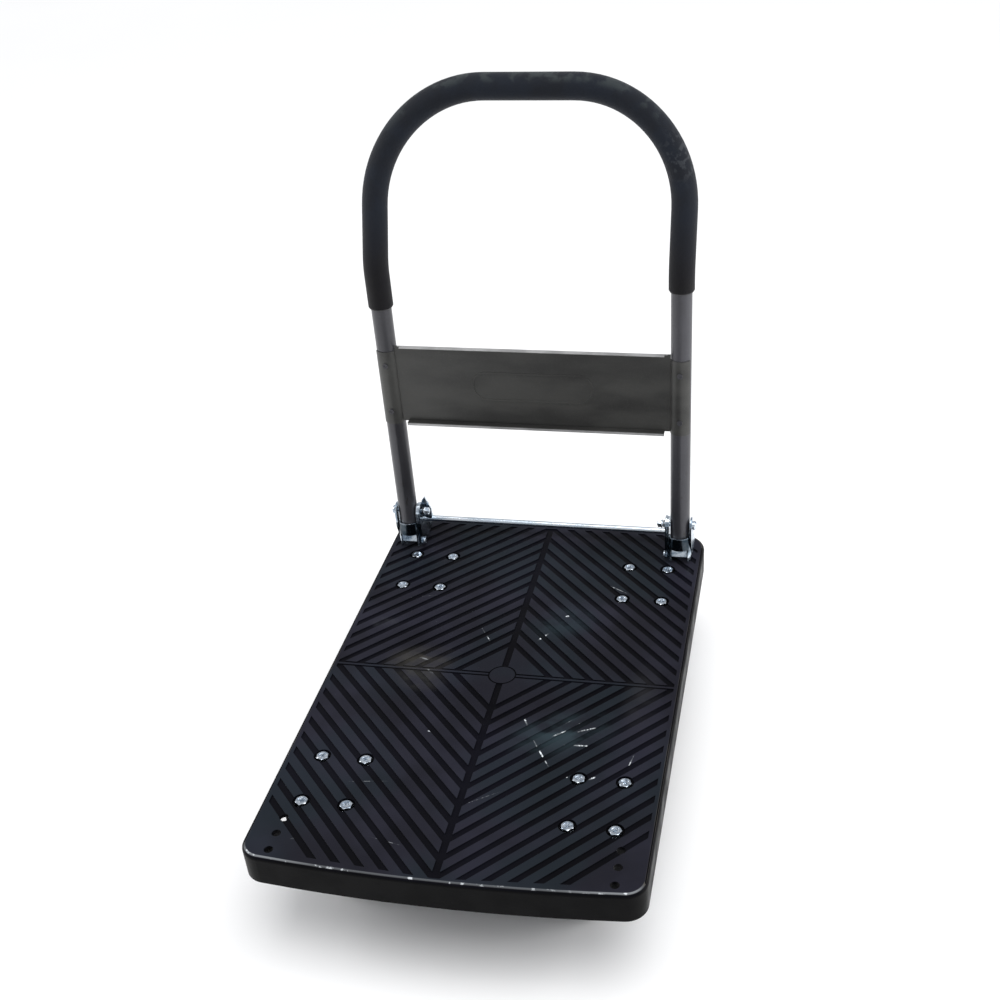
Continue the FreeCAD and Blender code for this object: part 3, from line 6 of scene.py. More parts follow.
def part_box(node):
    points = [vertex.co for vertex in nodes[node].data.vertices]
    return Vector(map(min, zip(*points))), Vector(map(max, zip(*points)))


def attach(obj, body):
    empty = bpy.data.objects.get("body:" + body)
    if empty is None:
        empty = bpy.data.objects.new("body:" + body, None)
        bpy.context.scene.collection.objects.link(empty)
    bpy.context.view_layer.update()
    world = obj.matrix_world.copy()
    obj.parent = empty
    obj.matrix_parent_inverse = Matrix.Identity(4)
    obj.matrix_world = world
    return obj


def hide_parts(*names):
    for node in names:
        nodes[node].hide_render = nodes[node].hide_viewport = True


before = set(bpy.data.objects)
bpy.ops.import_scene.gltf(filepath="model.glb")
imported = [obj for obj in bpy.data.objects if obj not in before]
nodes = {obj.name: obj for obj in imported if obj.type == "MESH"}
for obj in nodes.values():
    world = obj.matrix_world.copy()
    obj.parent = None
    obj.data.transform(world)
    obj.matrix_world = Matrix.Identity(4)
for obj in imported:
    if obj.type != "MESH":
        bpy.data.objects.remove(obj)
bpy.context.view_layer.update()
scene = bpy.context.scene
SIDES = (("left", -1), ("right", 1))
CORNERS = [(end, name, side) for end in ("front", "rear") for name, side in SIDES]


# --- deck ------------------------------------------------------------------------------------
# The deck is one injection moulding in black polypropylene, ribbed on top for grip and
# stiffened underneath. The mould leaves a fine spark-eroded grain; loads leave rubbed patches
# and white scratches. Painted shade darkens the grooves and the outer skirt, a painted highlight
# lines the turn of the top edge, and some blue-grey patches are painted sheen.

def linear(hex_colour):
    """An sRGB hex colour as the linear values that Blender's sockets take."""
    parts = [int(hex_colour[i:i + 2], 16) / 255 for i in (1, 3, 5)]
    return [p / 12.92 if p <= 0.04045 else ((p + 0.055) / 1.055) ** 2.4 for p in parts] + [1.0]


def add(tree, kind, *feeds, **settings):
    """Adds one node and gives its first output. A short kind names a shader node. Feeds, each a
    socket or a value, fill the inputs in order; None skips one."""
    made = tree.nodes.new(kind if "Node" in kind else "ShaderNode" + kind)
    for key, value in settings.items():
        setattr(made, key, value)
    for socket, feed in zip([i for i in made.inputs if i.enabled], feeds):
        if isinstance(feed, bpy.types.NodeSocket):
            tree.links.new(feed, socket)
        elif isinstance(feed, str) and socket.type == "RGBA":
            socket.default_value = linear(feed)
        elif feed is not None:
            socket.default_value = feed
    return next((o for o in made.outputs if o.enabled), None)


def finish_named(name, colour, **constants):
    """A material: its tree, its Principled shader and its Object coordinates."""
    made = bpy.data.materials.new(name)
    made.use_nodes = True
    tree = made.node_tree
    shader = tree.nodes["Principled BSDF"]
    shader.inputs["Base Color"].default_value = linear(colour)
    for key, value in constants.items():
        shader.inputs[key.replace("_", " ")].default_value = value
    place = tree.nodes.new("ShaderNodeTexCoord").outputs["Object"]
    return made, tree, shader, place


def grain(tree, place, size_mm, detail=3.0, stretch=(1, 1, 1)):
    """Noise from 0 to 1 with features about size_mm across."""
    spread = add(tree, "Mapping", place, None, None, stretch)
    return add(tree, "TexNoise", spread, 1000 / size_mm, detail)


def relief(tree, shader, height, depth_mm, edge_mm=0.0):
    """Bumps of about depth_mm; with edge_mm, sharp edges also shade as if broken by that radius."""
    rounded = add(tree, "ShaderNodeBevel", edge_mm / 1000, samples=4) if edge_mm else None
    bump = tree.nodes.new("ShaderNodeBump")
    bump.inputs["Distance"].default_value = depth_mm / 1000
    tree.links.new(height, bump.inputs["Height"])
    if rounded:
        tree.links.new(rounded, bump.inputs["Normal"])
    tree.links.new(bump.outputs[0], shader.inputs["Normal"])


def spot(tree, place, at_mm, reach_mm, turn=0.0):
    """1 at a place on the deck, fading to 0 at reach (along, across) from it, turned about Z."""
    middle = (at_mm[0] / 1000, at_mm[1] / 1000, 0)
    reach = (reach_mm[0] / 1000, reach_mm[1] / 1000, 10)
    moved = add(tree, "Mapping", place, middle, (0, 0, math.radians(turn)), reach, vector_type="TEXTURE")
    length = add(tree, "VectorMath", moved, operation="LENGTH")
    return add(
        tree, "MapRange", length, 0.0, 1.0, 1.0, 0.0, interpolation_type="SMOOTHSTEP",
    )


def dress(material, *names):
    for name in names:
        nodes[name].data.materials.clear()
        nodes[name].data.materials.append(material)


deck_low, deck_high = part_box("deck")
deck_top = deck_high.z

black_polypropylene, tree, shader, place = finish_named("black_moulded_polypropylene", "#1c1c22",
                                                        IOR=1.49, Specular_IOR_Level=0.06)
across, along, height = add(tree, "SeparateXYZ", place).node.outputs
facing = add(tree, "SeparateXYZ", place.node.outputs["Normal"]).node
cloud = grain(tree, place, 110, 3)
hue = grain(tree, place, 170, 2)
ribs = add(
    tree, "Mix", add(tree, "MapRange", cloud, 0.35, 0.65, interpolation_type="SMOOTHSTEP"), "#1c1c23",
    "#25252f", data_type="RGBA",
)
ribs = add(
    tree, "Mix", add(tree, "MapRange", hue, 0.45, 0.62, 0.0, 0.55, interpolation_type="SMOOTHSTEP"),
    ribs, "#1b2429", data_type="RGBA",
)
# painted shade: the groove floors are coloured darker than the rib tops
shaded_grooves = add(
    tree, "Mix", add(tree, "MapRange", cloud, 0.35, 0.65, interpolation_type="SMOOTHSTEP"), "#050509",
    "#0a0a12", data_type="RGBA",
)
colour = add(
    tree, "Mix",
    add(tree, "MapRange", height, deck_top - 0.0010, deck_top - 0.0004, interpolation_type="SMOOTHSTEP"),
    shaded_grooves, ribs, data_type="RGBA",
)
# painted shade: the outer skirt is near black, and the underside inside it is dark grey
inside = add(
    tree, "Math",
    add(
        tree, "MapRange", add(tree, "Math", across, operation="ABSOLUTE"), deck_high.x - 0.004,
        deck_high.x - 0.007, interpolation_type="SMOOTHSTEP",
    ),
    add(
        tree, "MapRange", add(tree, "Math", along, operation="ABSOLUTE"), deck_high.y - 0.004,
        deck_high.y - 0.007, interpolation_type="SMOOTHSTEP",
    ),
    operation="MULTIPLY",
)
underside_and_shaded_skirt = add(
    tree, "Mix", inside, "#050506",
    add(
        tree, "Mix", add(tree, "MapRange", cloud, 0.35, 0.65, interpolation_type="SMOOTHSTEP"),
        "#131316", "#1c1c20", data_type="RGBA",
    ),
    data_type="RGBA",
)
colour = add(
    tree, "Mix",
    add(tree, "MapRange", height, deck_top - 0.0045, deck_top - 0.0020, interpolation_type="SMOOTHSTEP"),
    underside_and_shaded_skirt, colour, data_type="RGBA",
)
# dusty rubbed patches, denser where loads stand; the blue-grey ones are painted sheen
smear_and_sheen_grain = grain(tree, place, 46, 5, (1, 1.4, 1))
for at, reach, turn, dust_and_sheen_tint, amount in (
    ((-118, 4), (62, 40), 10, "#403e39", 0.8),
    ((-112, -30), (50, 34), -20, "#3b3b37", 0.7),
    ((98, -118), (88, 52), 22, "#2f3c42", 0.85),
    ((62, 112), (70, 45), 30, "#28343a", 0.7),
    ((-190, 82), (26, 16), 0, "#3c3e42", 0.6),
    ((190, -40), (30, 90), 0, "#2e2e31", 0.5),
):
    dust_and_sheen_patch = add(
        tree, "Math", spot(tree, place, at, reach, turn),
        add(tree, "MapRange", smear_and_sheen_grain, 0.36, 0.60, 0.15, amount, interpolation_type="SMOOTHSTEP"),
        operation="MULTIPLY",
    )
    colour = add(tree, "Mix", dust_and_sheen_patch, colour, dust_and_sheen_tint, data_type="RGBA")
# scratches that whiten the plastic
flecks = grain(tree, place, 3.6, 2)
marks = None
for at, long, wide, turn, bright in (
    ((79.8, -159.4), 30, 1.3, -58.7, 0.9), ((49.1, -102.4), 12, 1.6, -62.3, 0.9),
    ((123.4, -97.2), 10, 2.6, 34.8, 1.0), ((98.6, -97.8), 13, 5.0, 38.6, 0.5),
    ((98.4, -119.8), 14, 1.8, 37.7, 0.6), ((123.8, -140.1), 20, 1.5, 3.2, 1.0),
    ((39.1, 73.6), 12, 2.0, 54.3, 1.0), ((64.9, 125.2), 5, 2.2, 24.8, 1.0),
    ((-39.1, 67.2), 26, 0.9, -57.2, 0.45), ((-110.8, 7.2), 12, 2.4, -13.9, 0.10),
    ((-115.0, -23.9), 12, 2.4, -45.2, 0.12), ((-97.8, -18.8), 9, 2.6, -41.6, 0.16),
    ((149.4, -196.5), 6, 1.8, 37.8, 1.0), ((118.0, -197.8), 3, 1.8, 0, 1.0),
    ((162.4, -200.6), 3, 1.6, 0, 0.9), ((116.4, -226.2), 2.4, 1.6, 0, 1.0),
    ((191.6, -163.2), 16, 1.0, 79.3, 0.5), ((-66.4, -137.3), 6, 1.8, -17.4, 0.5),
    ((150.4, -157.1), 18, 2.2, 44.6, 0.4), ((130.1, -109.6), 16, 1.6, 26.6, 0.5),
    ((-178.0, -340.0), 4, 2.0, 20, 0.15), ((-120.0, -236.0), 30, 0.7, 8, 0.10),
    ((-70.0, -330.0), 26, 0.8, -12, 0.12), ((20.0, -250.0), 40, 0.6, 35, 0.10),
    ((-150.0, 150.0), 34, 0.7, 15, 0.10), ((120.0, 200.0), 30, 0.7, -30, 0.3),
):
    mark = add(
        tree, "Math", spot(tree, place, at, (long, wide), turn), bright * 2.4, operation="MULTIPLY",
    )
    marks = add(tree, "ShaderNodeMath", marks, mark, operation="MAXIMUM") if marks else mark
marks = add(
    tree, "Math",
    add(
        tree, "Math", marks,
        add(tree, "MapRange", flecks, 0.47, 0.58, 0.12, 1.0, interpolation_type="SMOOTHSTEP"),
        operation="MULTIPLY",
    ),
    1.0, operation="MINIMUM",
)
on_top = add(
    tree, "MapRange", height, deck_top - 0.0009, deck_top - 0.0003, interpolation_type="SMOOTHSTEP",
)
colour = add(
    tree, "Mix", add(tree, "Math", marks, on_top, operation="MULTIPLY"), colour, "#e2e8ec",
    data_type="RGBA",
)
# painted highlight on the turn of the top edge: bright along the front and brighter towards the corners,
# dull brown-grey along the sides
edge_turn_highlight = add(
    tree, "Math",
    add(tree, "MapRange", height, deck_top - 0.0016, deck_top - 0.0008, interpolation_type="SMOOTHSTEP"),
    add(
        tree, "Math",
        add(tree, "MapRange", facing.outputs["Z"], 0.35, 0.60, interpolation_type="SMOOTHSTEP"),
        add(tree, "MapRange", facing.outputs["Z"], 0.985, 0.95, interpolation_type="SMOOTHSTEP"),
        operation="MULTIPLY",
    ),
    operation="MULTIPLY",
)
front = add(
    tree, "MapRange", along, deck_low.y + 0.034, deck_low.y + 0.016, interpolation_type="SMOOTHSTEP",
)
corner = add(
    tree, "MapRange", add(tree, "Math", across, operation="ABSOLUTE"), 0.12, 0.20, 0.10, 0.24,
    interpolation_type="SMOOTHSTEP",
)
highlight_strength = add(
    tree, "Math", corner,
    add(
        tree, "MapRange", grain(tree, place, 9, 4), 0.57, 0.67, 0.0, 0.7,
        interpolation_type="SMOOTHSTEP",
    ),
    operation="ADD",
)
highlight_strength = add(tree, "Math", highlight_strength, 1.0, operation="MINIMUM")
colour = add(
    tree, "Mix",
    add(tree, "Math", add(tree, "Math", edge_turn_highlight, front, operation="MULTIPLY"), highlight_strength, operation="MULTIPLY"),
    colour, "#dfe4e8", data_type="RGBA",
)
# painted highlight along the side edges, broken up by noise
side_edge_highlight = add(
    tree, "Math", edge_turn_highlight,
    add(
        tree, "MapRange", grain(tree, place, 30, 4, (1, 0.3, 1)), 0.42, 0.62, 0.15, 0.7,
        interpolation_type="SMOOTHSTEP",
    ),
    operation="MULTIPLY",
)
colour = add(
    tree, "Mix",
    add(
        tree, "Math", side_edge_highlight, add(tree, "MapRange", front, 0.5, 0.0, interpolation_type="SMOOTHSTEP"),
        operation="MULTIPLY",
    ),
    colour, "#6b675e", data_type="RGBA",
)
tree.links.new(colour, shader.inputs["Base Color"])
tree.links.new(
    add(
        tree, "MapRange", grain(tree, place, 34, 4), 0.35, 0.65, 0.36, 0.52,
        interpolation_type="SMOOTHSTEP",
    ),
    shader.inputs["Roughness"],
)
relief(
    tree, shader,
    add(tree, "Math", grain(tree, place, 1.8, 2), grain(tree, place, 14, 2), operation="ADD"), 0.10,
    0.6,
)
dress(black_polypropylene, "deck")


# --- caster bolts ----------------------------------------------------------------------------
# Sixteen M8 hexagon bolts hold the casters. They are cold-headed steel, with a chamfered,
# dished and cross-recessed head on a washer, zinc plated and passivated bright.

def zinc_plate(name, bright, dark_mottle_and_reflection, rough, cell_mm):
    """Bright zinc plate: a near mirror, mottled as passivation cloud and as painted dark reflections,
    flecked darker and dulled by handling.
    """
    made, tree, shader, place = finish_named(name, bright, Metallic=1.0)
    cloud = grain(tree, place, cell_mm, 4)
    colour = add(
        tree, "Mix", add(tree, "MapRange", cloud, 0.38, 0.62, interpolation_type="SMOOTHSTEP"), dark_mottle_and_reflection,
        bright, data_type="RGBA",
    )
    colour = add(
        tree, "Mix",
        add(
            tree, "MapRange", grain(tree, place, cell_mm / 6, 3), 0.56, 0.72, 0.0, 0.5,
            interpolation_type="SMOOTHSTEP",
        ),
        colour, "#5d6670", data_type="RGBA",
    )
    tree.links.new(colour, shader.inputs["Base Color"])
    tree.links.new(
        add(tree, "MapRange", cloud, 0.3, 0.7, rough[1], rough[0], interpolation_type="SMOOTHSTEP"),
        shader.inputs["Roughness"],
    )
    relief(tree, shader, grain(tree, place, cell_mm / 4, 3), 0.05, 0.35)
    return made


bolt_zinc = zinc_plate("bright_zinc_fasteners", "#e4ecf4", "#a3b0be", (0.20, 0.36), 5)

tree = bpy.data.node_groups.new("caster_bolt_row", "GeometryNodeTree")
tree.is_modifier = True
tree.interface.new_socket("Places", in_out="INPUT", socket_type="NodeSocketGeometry")
for name, value in (("Head Radius", 0.008), ("Head Height", 0.0053), ("Dish Radius", 0.0048),
                    ("Washer Radius", 0.009), ("Washer Height", 0.0012), ("Shank Radius", 0.004),
                    ("Shank Length", 0.052), ("Slot Length", 0.0066), ("Slot Width", 0.0013)):
    tree.interface.new_socket(name, in_out="INPUT", socket_type="NodeSocketFloat").default_value = value
tree.interface.new_socket("Finish", in_out="INPUT", socket_type="NodeSocketMaterial")
tree.interface.new_socket("Bolts", in_out="OUTPUT", socket_type="NodeSocketGeometry")
given = tree.nodes.new("NodeGroupInput").outputs


def lifted(tree, shape, height):
    """shape moved up by height."""
    offset = add(tree, "CombineXYZ", 0.0, 0.0, height)
    return add(tree, "GeometryNodeTransform", shape, offset)


def drum(tree, corners, radius, length, bottom):
    """A drum that stands on bottom."""
    shape = add(tree, "GeometryNodeMeshCylinder", corners, 1, 1, radius, length)
    middle = add(
        tree, "Math", bottom, add(tree, "Math", length, 0.5, operation="MULTIPLY"), operation="ADD",
    )
    return lifted(tree, shape, middle)


seat = given["Washer Height"]
blank = drum(tree, 6, given["Head Radius"], given["Head Height"], seat)
cone = add(
    tree, "GeometryNodeMeshCone", 48, 1, 1,
    add(tree, "Math", given["Head Radius"], 0.86, operation="MULTIPLY"),
    add(tree, "Math", given["Head Radius"], 2.0, operation="MULTIPLY"),
    add(tree, "Math", given["Head Radius"], 0.75, operation="MULTIPLY"),
)
# cone stands on its wide end, its narrow end flush with the head's top
cone = lifted(
    tree, cone,
    add(
        tree, "Math", add(tree, "Math", seat, given["Head Height"], operation="ADD"),
        add(tree, "Math", given["Head Radius"], 0.75, operation="MULTIPLY"), operation="SUBTRACT",
    ),
)
head_top = add(tree, "Math", seat, given["Head Height"], operation="ADD")
chamfered = tree.nodes.new("GeometryNodeMeshBoolean")
chamfered.operation = "INTERSECT"
chamfered.solver = "EXACT"
tree.links.new(blank, chamfered.inputs["Mesh 2"])
tree.links.new(cone, chamfered.inputs["Mesh 2"])
dish = drum(
    tree, 32, given["Dish Radius"], 0.004, add(tree, "Math", head_top, 0.0008, operation="SUBTRACT"),
)
carved = tree.nodes.new("GeometryNodeMeshBoolean")
carved.operation = "DIFFERENCE"
carved.solver = "EXACT"
tree.links.new(chamfered.outputs["Mesh"], carved.inputs["Mesh 1"])
tree.links.new(dish, carved.inputs["Mesh 2"])
for turned in (False, True):
    names = ("Slot Width", "Slot Length") if turned else ("Slot Length", "Slot Width")
    sides = [given[name] for name in names]
    slot = add(tree, "GeometryNodeMeshCube", add(tree, "CombineXYZ", *sides, 0.004))
    slot = lifted(tree, slot, add(tree, "Math", head_top, 0.0004, operation="SUBTRACT"))
    tree.links.new(slot, carved.inputs["Mesh 2"])
washer = drum(tree, 40, given["Washer Radius"], given["Washer Height"], 0.0)
shank = drum(
    tree, 24, given["Shank Radius"], given["Shank Length"],
    add(tree, "Math", 0.0, given["Shank Length"], operation="SUBTRACT"),
)
joined = tree.nodes.new("GeometryNodeJoinGeometry")
for shape in (carved.outputs["Mesh"], washer, shank):
    tree.links.new(shape, joined.inputs[0])
turn = tree.nodes.new("FunctionNodeRandomValue")
turn.data_type = "FLOAT"
turn.inputs[3].default_value = math.tau
turn.inputs["Seed"].default_value = 7
angle = add(tree, "CombineXYZ", 0.0, 0.0, turn.outputs[1])
row = add(
    tree, "GeometryNodeInstanceOnPoints", given["Places"], None, joined.outputs[0], None, None, angle,
)
real = add(tree, "GeometryNodeRealizeInstances", row)
painted = add(tree, "GeometryNodeSetMaterial", real, None, given["Finish"])
tree.links.new(painted, tree.nodes.new("NodeGroupOutput").inputs[0])


def grown(name, start, group, **inputs):
    """Runs a Geometry Nodes group on a mesh or curve and keeps the result as a plain mesh piece."""
    seed = bpy.data.objects.new(name + "_start", start)
    scene.collection.objects.link(seed)
    modifier = seed.modifiers.new(name, "NODES")
    modifier.node_group = group
    for item in group.interface.items_tree:
        key = item.name.replace(" ", "_")
        if item.in_out == "INPUT" and key in inputs:
            modifier[item.identifier] = inputs[key]
    bpy.context.view_layer.update()
    mesh = bpy.data.meshes.new_from_object(seed.evaluated_get(bpy.context.evaluated_depsgraph_get()))
    bpy.data.objects.remove(seed)
    piece = bpy.data.objects.new(name, mesh)
    mesh.name = name
    scene.collection.objects.link(piece)
    return piece


COUNTERBORE = 0.0063
BOLT_ACROSS = 0.056
BOLT_ALONG = 0.080
bolt_seat = deck_top - COUNTERBORE
bolt_points = []
for end, name, side in CORNERS:
    low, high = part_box(f"caster_plate_{end}_{name}")
    middle = (low + high) / 2
    bolt_points += [(middle.x + BOLT_ACROSS / 2 * i, middle.y + BOLT_ALONG / 2 * j, bolt_seat)
                    for i in (-1, 1) for j in (-1, 1)]
tail = min(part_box(f"caster_bolts_{end}_{name}")[0].z for end, name, side in CORNERS)
points = bpy.data.meshes.new("bolt_places")
points.from_pydata(bolt_points, [], [])
bolts = grown("caster_bolts", points, tree, Finish=bolt_zinc, Shank_Length=bolt_seat - tail)
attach(bolts, "deck")
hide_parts(*[f"caster_bolts_{end}_{name}" for end, name, side in CORNERS])


# --- casters ---------------------------------------------------------------------------------
# Pressed forks and plates in zinc-plated steel, M8 nuts under the plates, and M10 axle bolts.
# The front pair is fixed; the rear pair swivels on a race and a kingpin.

pressed_zinc = zinc_plate("zinc_plated_pressings", "#d9e0e6", "#aab4bd", (0.22, 0.38), 26)
dress(bolt_zinc, *[f"caster_nuts_{end}_{name}" for end, name, side in CORNERS],
      *[f"wheel_axle_{end}_{name}" for end, name, side in CORNERS], "kingpin_left", "kingpin_right")
dress(pressed_zinc, *[f"caster_plate_{end}_{name}" for end, name, side in CORNERS],
      *[f"caster_fork_{end}_{name}" for end, name, side in CORNERS])

# Turned steel sleeves, plain and slightly oiled.
turned_steel, tree, shader, place = finish_named("turned_steel", "#9a9c9e", Metallic=1.0)
rings = grain(tree, place, 1.2, 2, (6, 0.3, 0.3))
tree.links.new(
    add(tree, "Mix", rings, "#7f8285", "#adb0b2", data_type="RGBA"), shader.inputs["Base Color"],
)
tree.links.new(
    add(tree, "MapRange", rings, 0.3, 0.7, 0.28, 0.42, interpolation_type="SMOOTHSTEP"),
    shader.inputs["Roughness"],
)
relief(tree, shader, rings, 0.02)
dress(turned_steel, *[f"wheel_sleeve_{end}_{name}" for end, name, side in CORNERS])


# --- wheels ----------------------------------------------------------------------------------
# Grey solid-rubber tyres, pressed on ribbed cores moulded in light polypropylene. The rubber
# is dull, scuffed on its tread and holds dust; the core has a satin mould finish.

tyre_rubber, tree, shader, place = finish_named(
    "grey_tyre_rubber", "#2b2b2d", IOR=1.52, Specular_IOR_Level=0.3,
)
dust = grain(tree, place, 14, 5)
colour = add(
    tree, "Mix", add(tree, "MapRange", dust, 0.45, 0.7, 0.0, 0.6, interpolation_type="SMOOTHSTEP"),
    "#29292b", "#4a4845", data_type="RGBA",
)
colour = add(
    tree, "Mix",
    add(
        tree, "MapRange", grain(tree, place, 2.2, 3), 0.58, 0.7, 0.0, 0.5,
        interpolation_type="SMOOTHSTEP",
    ),
    colour, "#5b5853", data_type="RGBA",
)
tree.links.new(colour, shader.inputs["Base Color"])
tree.links.new(
    add(tree, "MapRange", dust, 0.3, 0.7, 0.62, 0.85, interpolation_type="SMOOTHSTEP"),
    shader.inputs["Roughness"],
)
relief(tree, shader, grain(tree, place, 1.5, 4), 0.12)
dress(tyre_rubber, *[f"wheel_tyre_{end}_{name}" for end, name, side in CORNERS])

core_plastic, tree, shader, place = finish_named("light_grey_polypropylene", "#8f9294", IOR=1.49)
soil = grain(tree, place, 18, 5)
tree.links.new(
    add(
        tree, "Mix",
        add(tree, "MapRange", soil, 0.48, 0.72, 0.0, 0.55, interpolation_type="SMOOTHSTEP"), "#8f9294",
        "#6b6964", data_type="RGBA",
    ),
    shader.inputs["Base Color"],
)
tree.links.new(
    add(tree, "MapRange", soil, 0.3, 0.7, 0.38, 0.55, interpolation_type="SMOOTHSTEP"),
    shader.inputs["Roughness"],
)
relief(tree, shader, grain(tree, place, 1.4, 2), 0.05, 0.5)
dress(core_plastic, *[f"wheel_core_{end}_{name}" for end, name, side in CORNERS])


# --- handle tube -----------------------------------------------------------------------------
# One 28 mm steel tube, bent and powder coated in metallic dark grey. The coat has fine orange
# peel and metal flake, with rubs and small chips low on the legs.

tube_coat, tree, shader, place = finish_named("metallic_grey_powder_coat", "#414145", Metallic=0.45,
                                              Coat_Weight=0.2, Coat_Roughness=0.3)
parts = add(tree, "SeparateXYZ", place).node
flake = grain(tree, place, 0.9, 2)
patches = grain(tree, place, 60, 4, (1, 1, 0.4))
colour = add(
    tree, "Mix", add(tree, "MapRange", patches, 0.35, 0.65, interpolation_type="SMOOTHSTEP"), "#37373b",
    "#45454a", data_type="RGBA",
)
colour = add(
    tree, "Mix", add(tree, "MapRange", flake, 0.60, 0.72, 0.0, 0.4, interpolation_type="SMOOTHSTEP"),
    colour, "#66666b", data_type="RGBA",
)
rub = add(
    tree, "Math",
    add(
        tree, "MapRange", grain(tree, place, 7, 4, (1, 1, 0.35)), 0.60, 0.70,
        interpolation_type="SMOOTHSTEP",
    ),
    add(tree, "MapRange", parts.outputs["Z"], 0.36, 0.26, interpolation_type="SMOOTHSTEP"),
    operation="MULTIPLY",
)
colour = add(tree, "Mix", rub, colour, "#2f2d2d", data_type="RGBA")
tree.links.new(colour, shader.inputs["Base Color"])
tree.links.new(
    add(tree, "MapRange", patches, 0.3, 0.7, 0.30, 0.42, interpolation_type="SMOOTHSTEP"),
    shader.inputs["Roughness"],
)
relief(tree, shader, grain(tree, place, 2.6, 2), 0.05, 0.4)
dress(tube_coat, "handle_tube")

# Push-in end plugs in black polyethylene, waxy and plain.
plug_plastic, tree, shader, place = finish_named("black_polyethylene", "#141416", IOR=1.51)
tree.links.new(
    add(tree, "Mix", grain(tree, place, 6, 4), "#101012", "#1d1d20", data_type="RGBA"),
    shader.inputs["Base Color"],
)
tree.links.new(
    add(tree, "MapRange", grain(tree, place, 9, 3), 0.3, 0.7, 0.4, 0.6, interpolation_type="SMOOTHSTEP"),
    shader.inputs["Roughness"],
)
relief(tree, shader, grain(tree, place, 1.2, 2), 0.04, 0.4)
dress(plug_plastic, "tube_plugs")


# --- foam grip -------------------------------------------------------------------------------
# A sleeve of closed-cell nitrile foam, slid over the bent tube with its ends cut square. Its
# skin is matt and blue-black, with a painted highlight on the crown's upper faces, and nicked at
# the right corner.

LEG_X = 0.2045
LEG_Y = 0.28441
BEND_Z = 0.6026
LEAN = math.radians(21.9)
LEAN_RUN = 0.223
top_y = LEG_Y + LEAN_RUN * math.sin(LEAN)
top_z = BEND_Z + LEAN_RUN * math.cos(LEAN)
foam_route = [
    (Vector((-LEG_X, LEG_Y, 0.544)), 0), (Vector((-LEG_X, LEG_Y, BEND_Z)), 0.070),
    (Vector((-LEG_X, top_y, top_z)), 0.146), (Vector((LEG_X, top_y, top_z)), 0.146),
    (Vector((LEG_X, LEG_Y, BEND_Z)), 0.070), (Vector((LEG_X, LEG_Y, 0.577)), 0),
]


def bent_line(name, route):
    """A Bezier line through the route, with each inner corner bent to its radius."""
    line = bpy.data.curves.new(name, "CURVE")
    line.dimensions = "3D"
    line.resolution_u = 24
    spline = line.splines.new("BEZIER")
    stations = []
    for index, (corner, radius) in enumerate(route):
        if radius == 0:
            stations.append((corner, None, None))
            continue
        back = (route[index - 1][0] - corner).normalized()
        ahead = (route[index + 1][0] - corner).normalized()
        turn = math.pi - back.angle(ahead)
        reach = radius * math.tan(turn / 2)
        pull = radius * 4 / 3 * math.tan(turn / 4)
        stations.append((corner + back * reach, None, corner + back * (reach - pull)))
        stations.append((corner + ahead * reach, corner + ahead * (reach - pull), None))
    spline.bezier_points.add(len(stations) - 1)
    for point, (at, before, after) in zip(spline.bezier_points, stations):
        point.co = at
        point.handle_left_type = point.handle_right_type = "FREE"
    for index, (at, before, after) in enumerate(stations):
        point = spline.bezier_points[index]
        last = stations[index - 1][0] if index else at
        following = stations[index + 1][0] if index + 1 < len(stations) else at
        point.handle_left = before or at + (last - at) / 3
        point.handle_right = after or at + (following - at) / 3
    return line


tree = bpy.data.node_groups.new("foam_sleeve", "GeometryNodeTree")
tree.is_modifier = True
tree.interface.new_socket("Line", in_out="INPUT", socket_type="NodeSocketGeometry")
for name, value in (("Outer Radius", 0.017), ("Inner Radius", 0.01415), ("Ring Spacing", 0.0022),
                    ("Lip Length", 0.0022), ("Lumps", 0.00028), ("Lump Size", 0.016)):
    tree.interface.new_socket(name, in_out="INPUT", socket_type="NodeSocketFloat").default_value = value
tree.interface.new_socket("Finish", in_out="INPUT", socket_type="NodeSocketMaterial")
tree.interface.new_socket("Sleeve", in_out="OUTPUT", socket_type="NodeSocketGeometry")
given = tree.nodes.new("NodeGroupInput").outputs
resampled = tree.nodes.new("GeometryNodeResampleCurve")
resampled.mode = "LENGTH"
tree.links.new(given["Line"], resampled.inputs["Curve"])
tree.links.new(given["Ring Spacing"], resampled.inputs["Length"])
spline_place = tree.nodes.new("GeometryNodeSplineParameter").outputs["Length"]
whole = add(tree, "GeometryNodeCurveLength", resampled.outputs[0])
from_end = add(
    tree, "Math", spline_place, add(tree, "Math", whole, spline_place, operation="SUBTRACT"),
    operation="MINIMUM",
)
lip = add(tree, "Math", from_end, given["Lip Length"], operation="DIVIDE")
lip = add(tree, "Math", lip, 1.0, operation="MINIMUM")
middle = add(
    tree, "Math", add(tree, "Math", given["Outer Radius"], given["Inner Radius"], operation="ADD"), 0.5,
    operation="MULTIPLY",
)
walls = []
for which in ("Outer Radius", "Inner Radius"):
    spread = add(tree, "Math", given[which], middle, operation="SUBTRACT")
    radius = add(
        tree, "Math", middle, add(tree, "Math", spread, lip, operation="MULTIPLY"), operation="ADD",
    )
    sized = tree.nodes.new("GeometryNodeSetCurveRadius")
    tree.links.new(resampled.outputs[0], sized.inputs["Curve"])
    tree.links.new(radius, sized.inputs["Radius"])
    circle = tree.nodes.new("GeometryNodeCurvePrimitiveCircle")
    circle.inputs["Resolution"].default_value = 48
    circle.inputs["Radius"].default_value = 1.0
    wall = tree.nodes.new("GeometryNodeCurveToMesh")
    tree.links.new(sized.outputs[0], wall.inputs["Curve"])
    tree.links.new(circle.outputs[0], wall.inputs["Profile Curve"])
    if "Scale" in wall.inputs:
        read = tree.nodes.new("GeometryNodeInputRadius")
        tree.links.new(read.outputs[0], wall.inputs["Scale"])
    walls.append(wall.outputs[0])
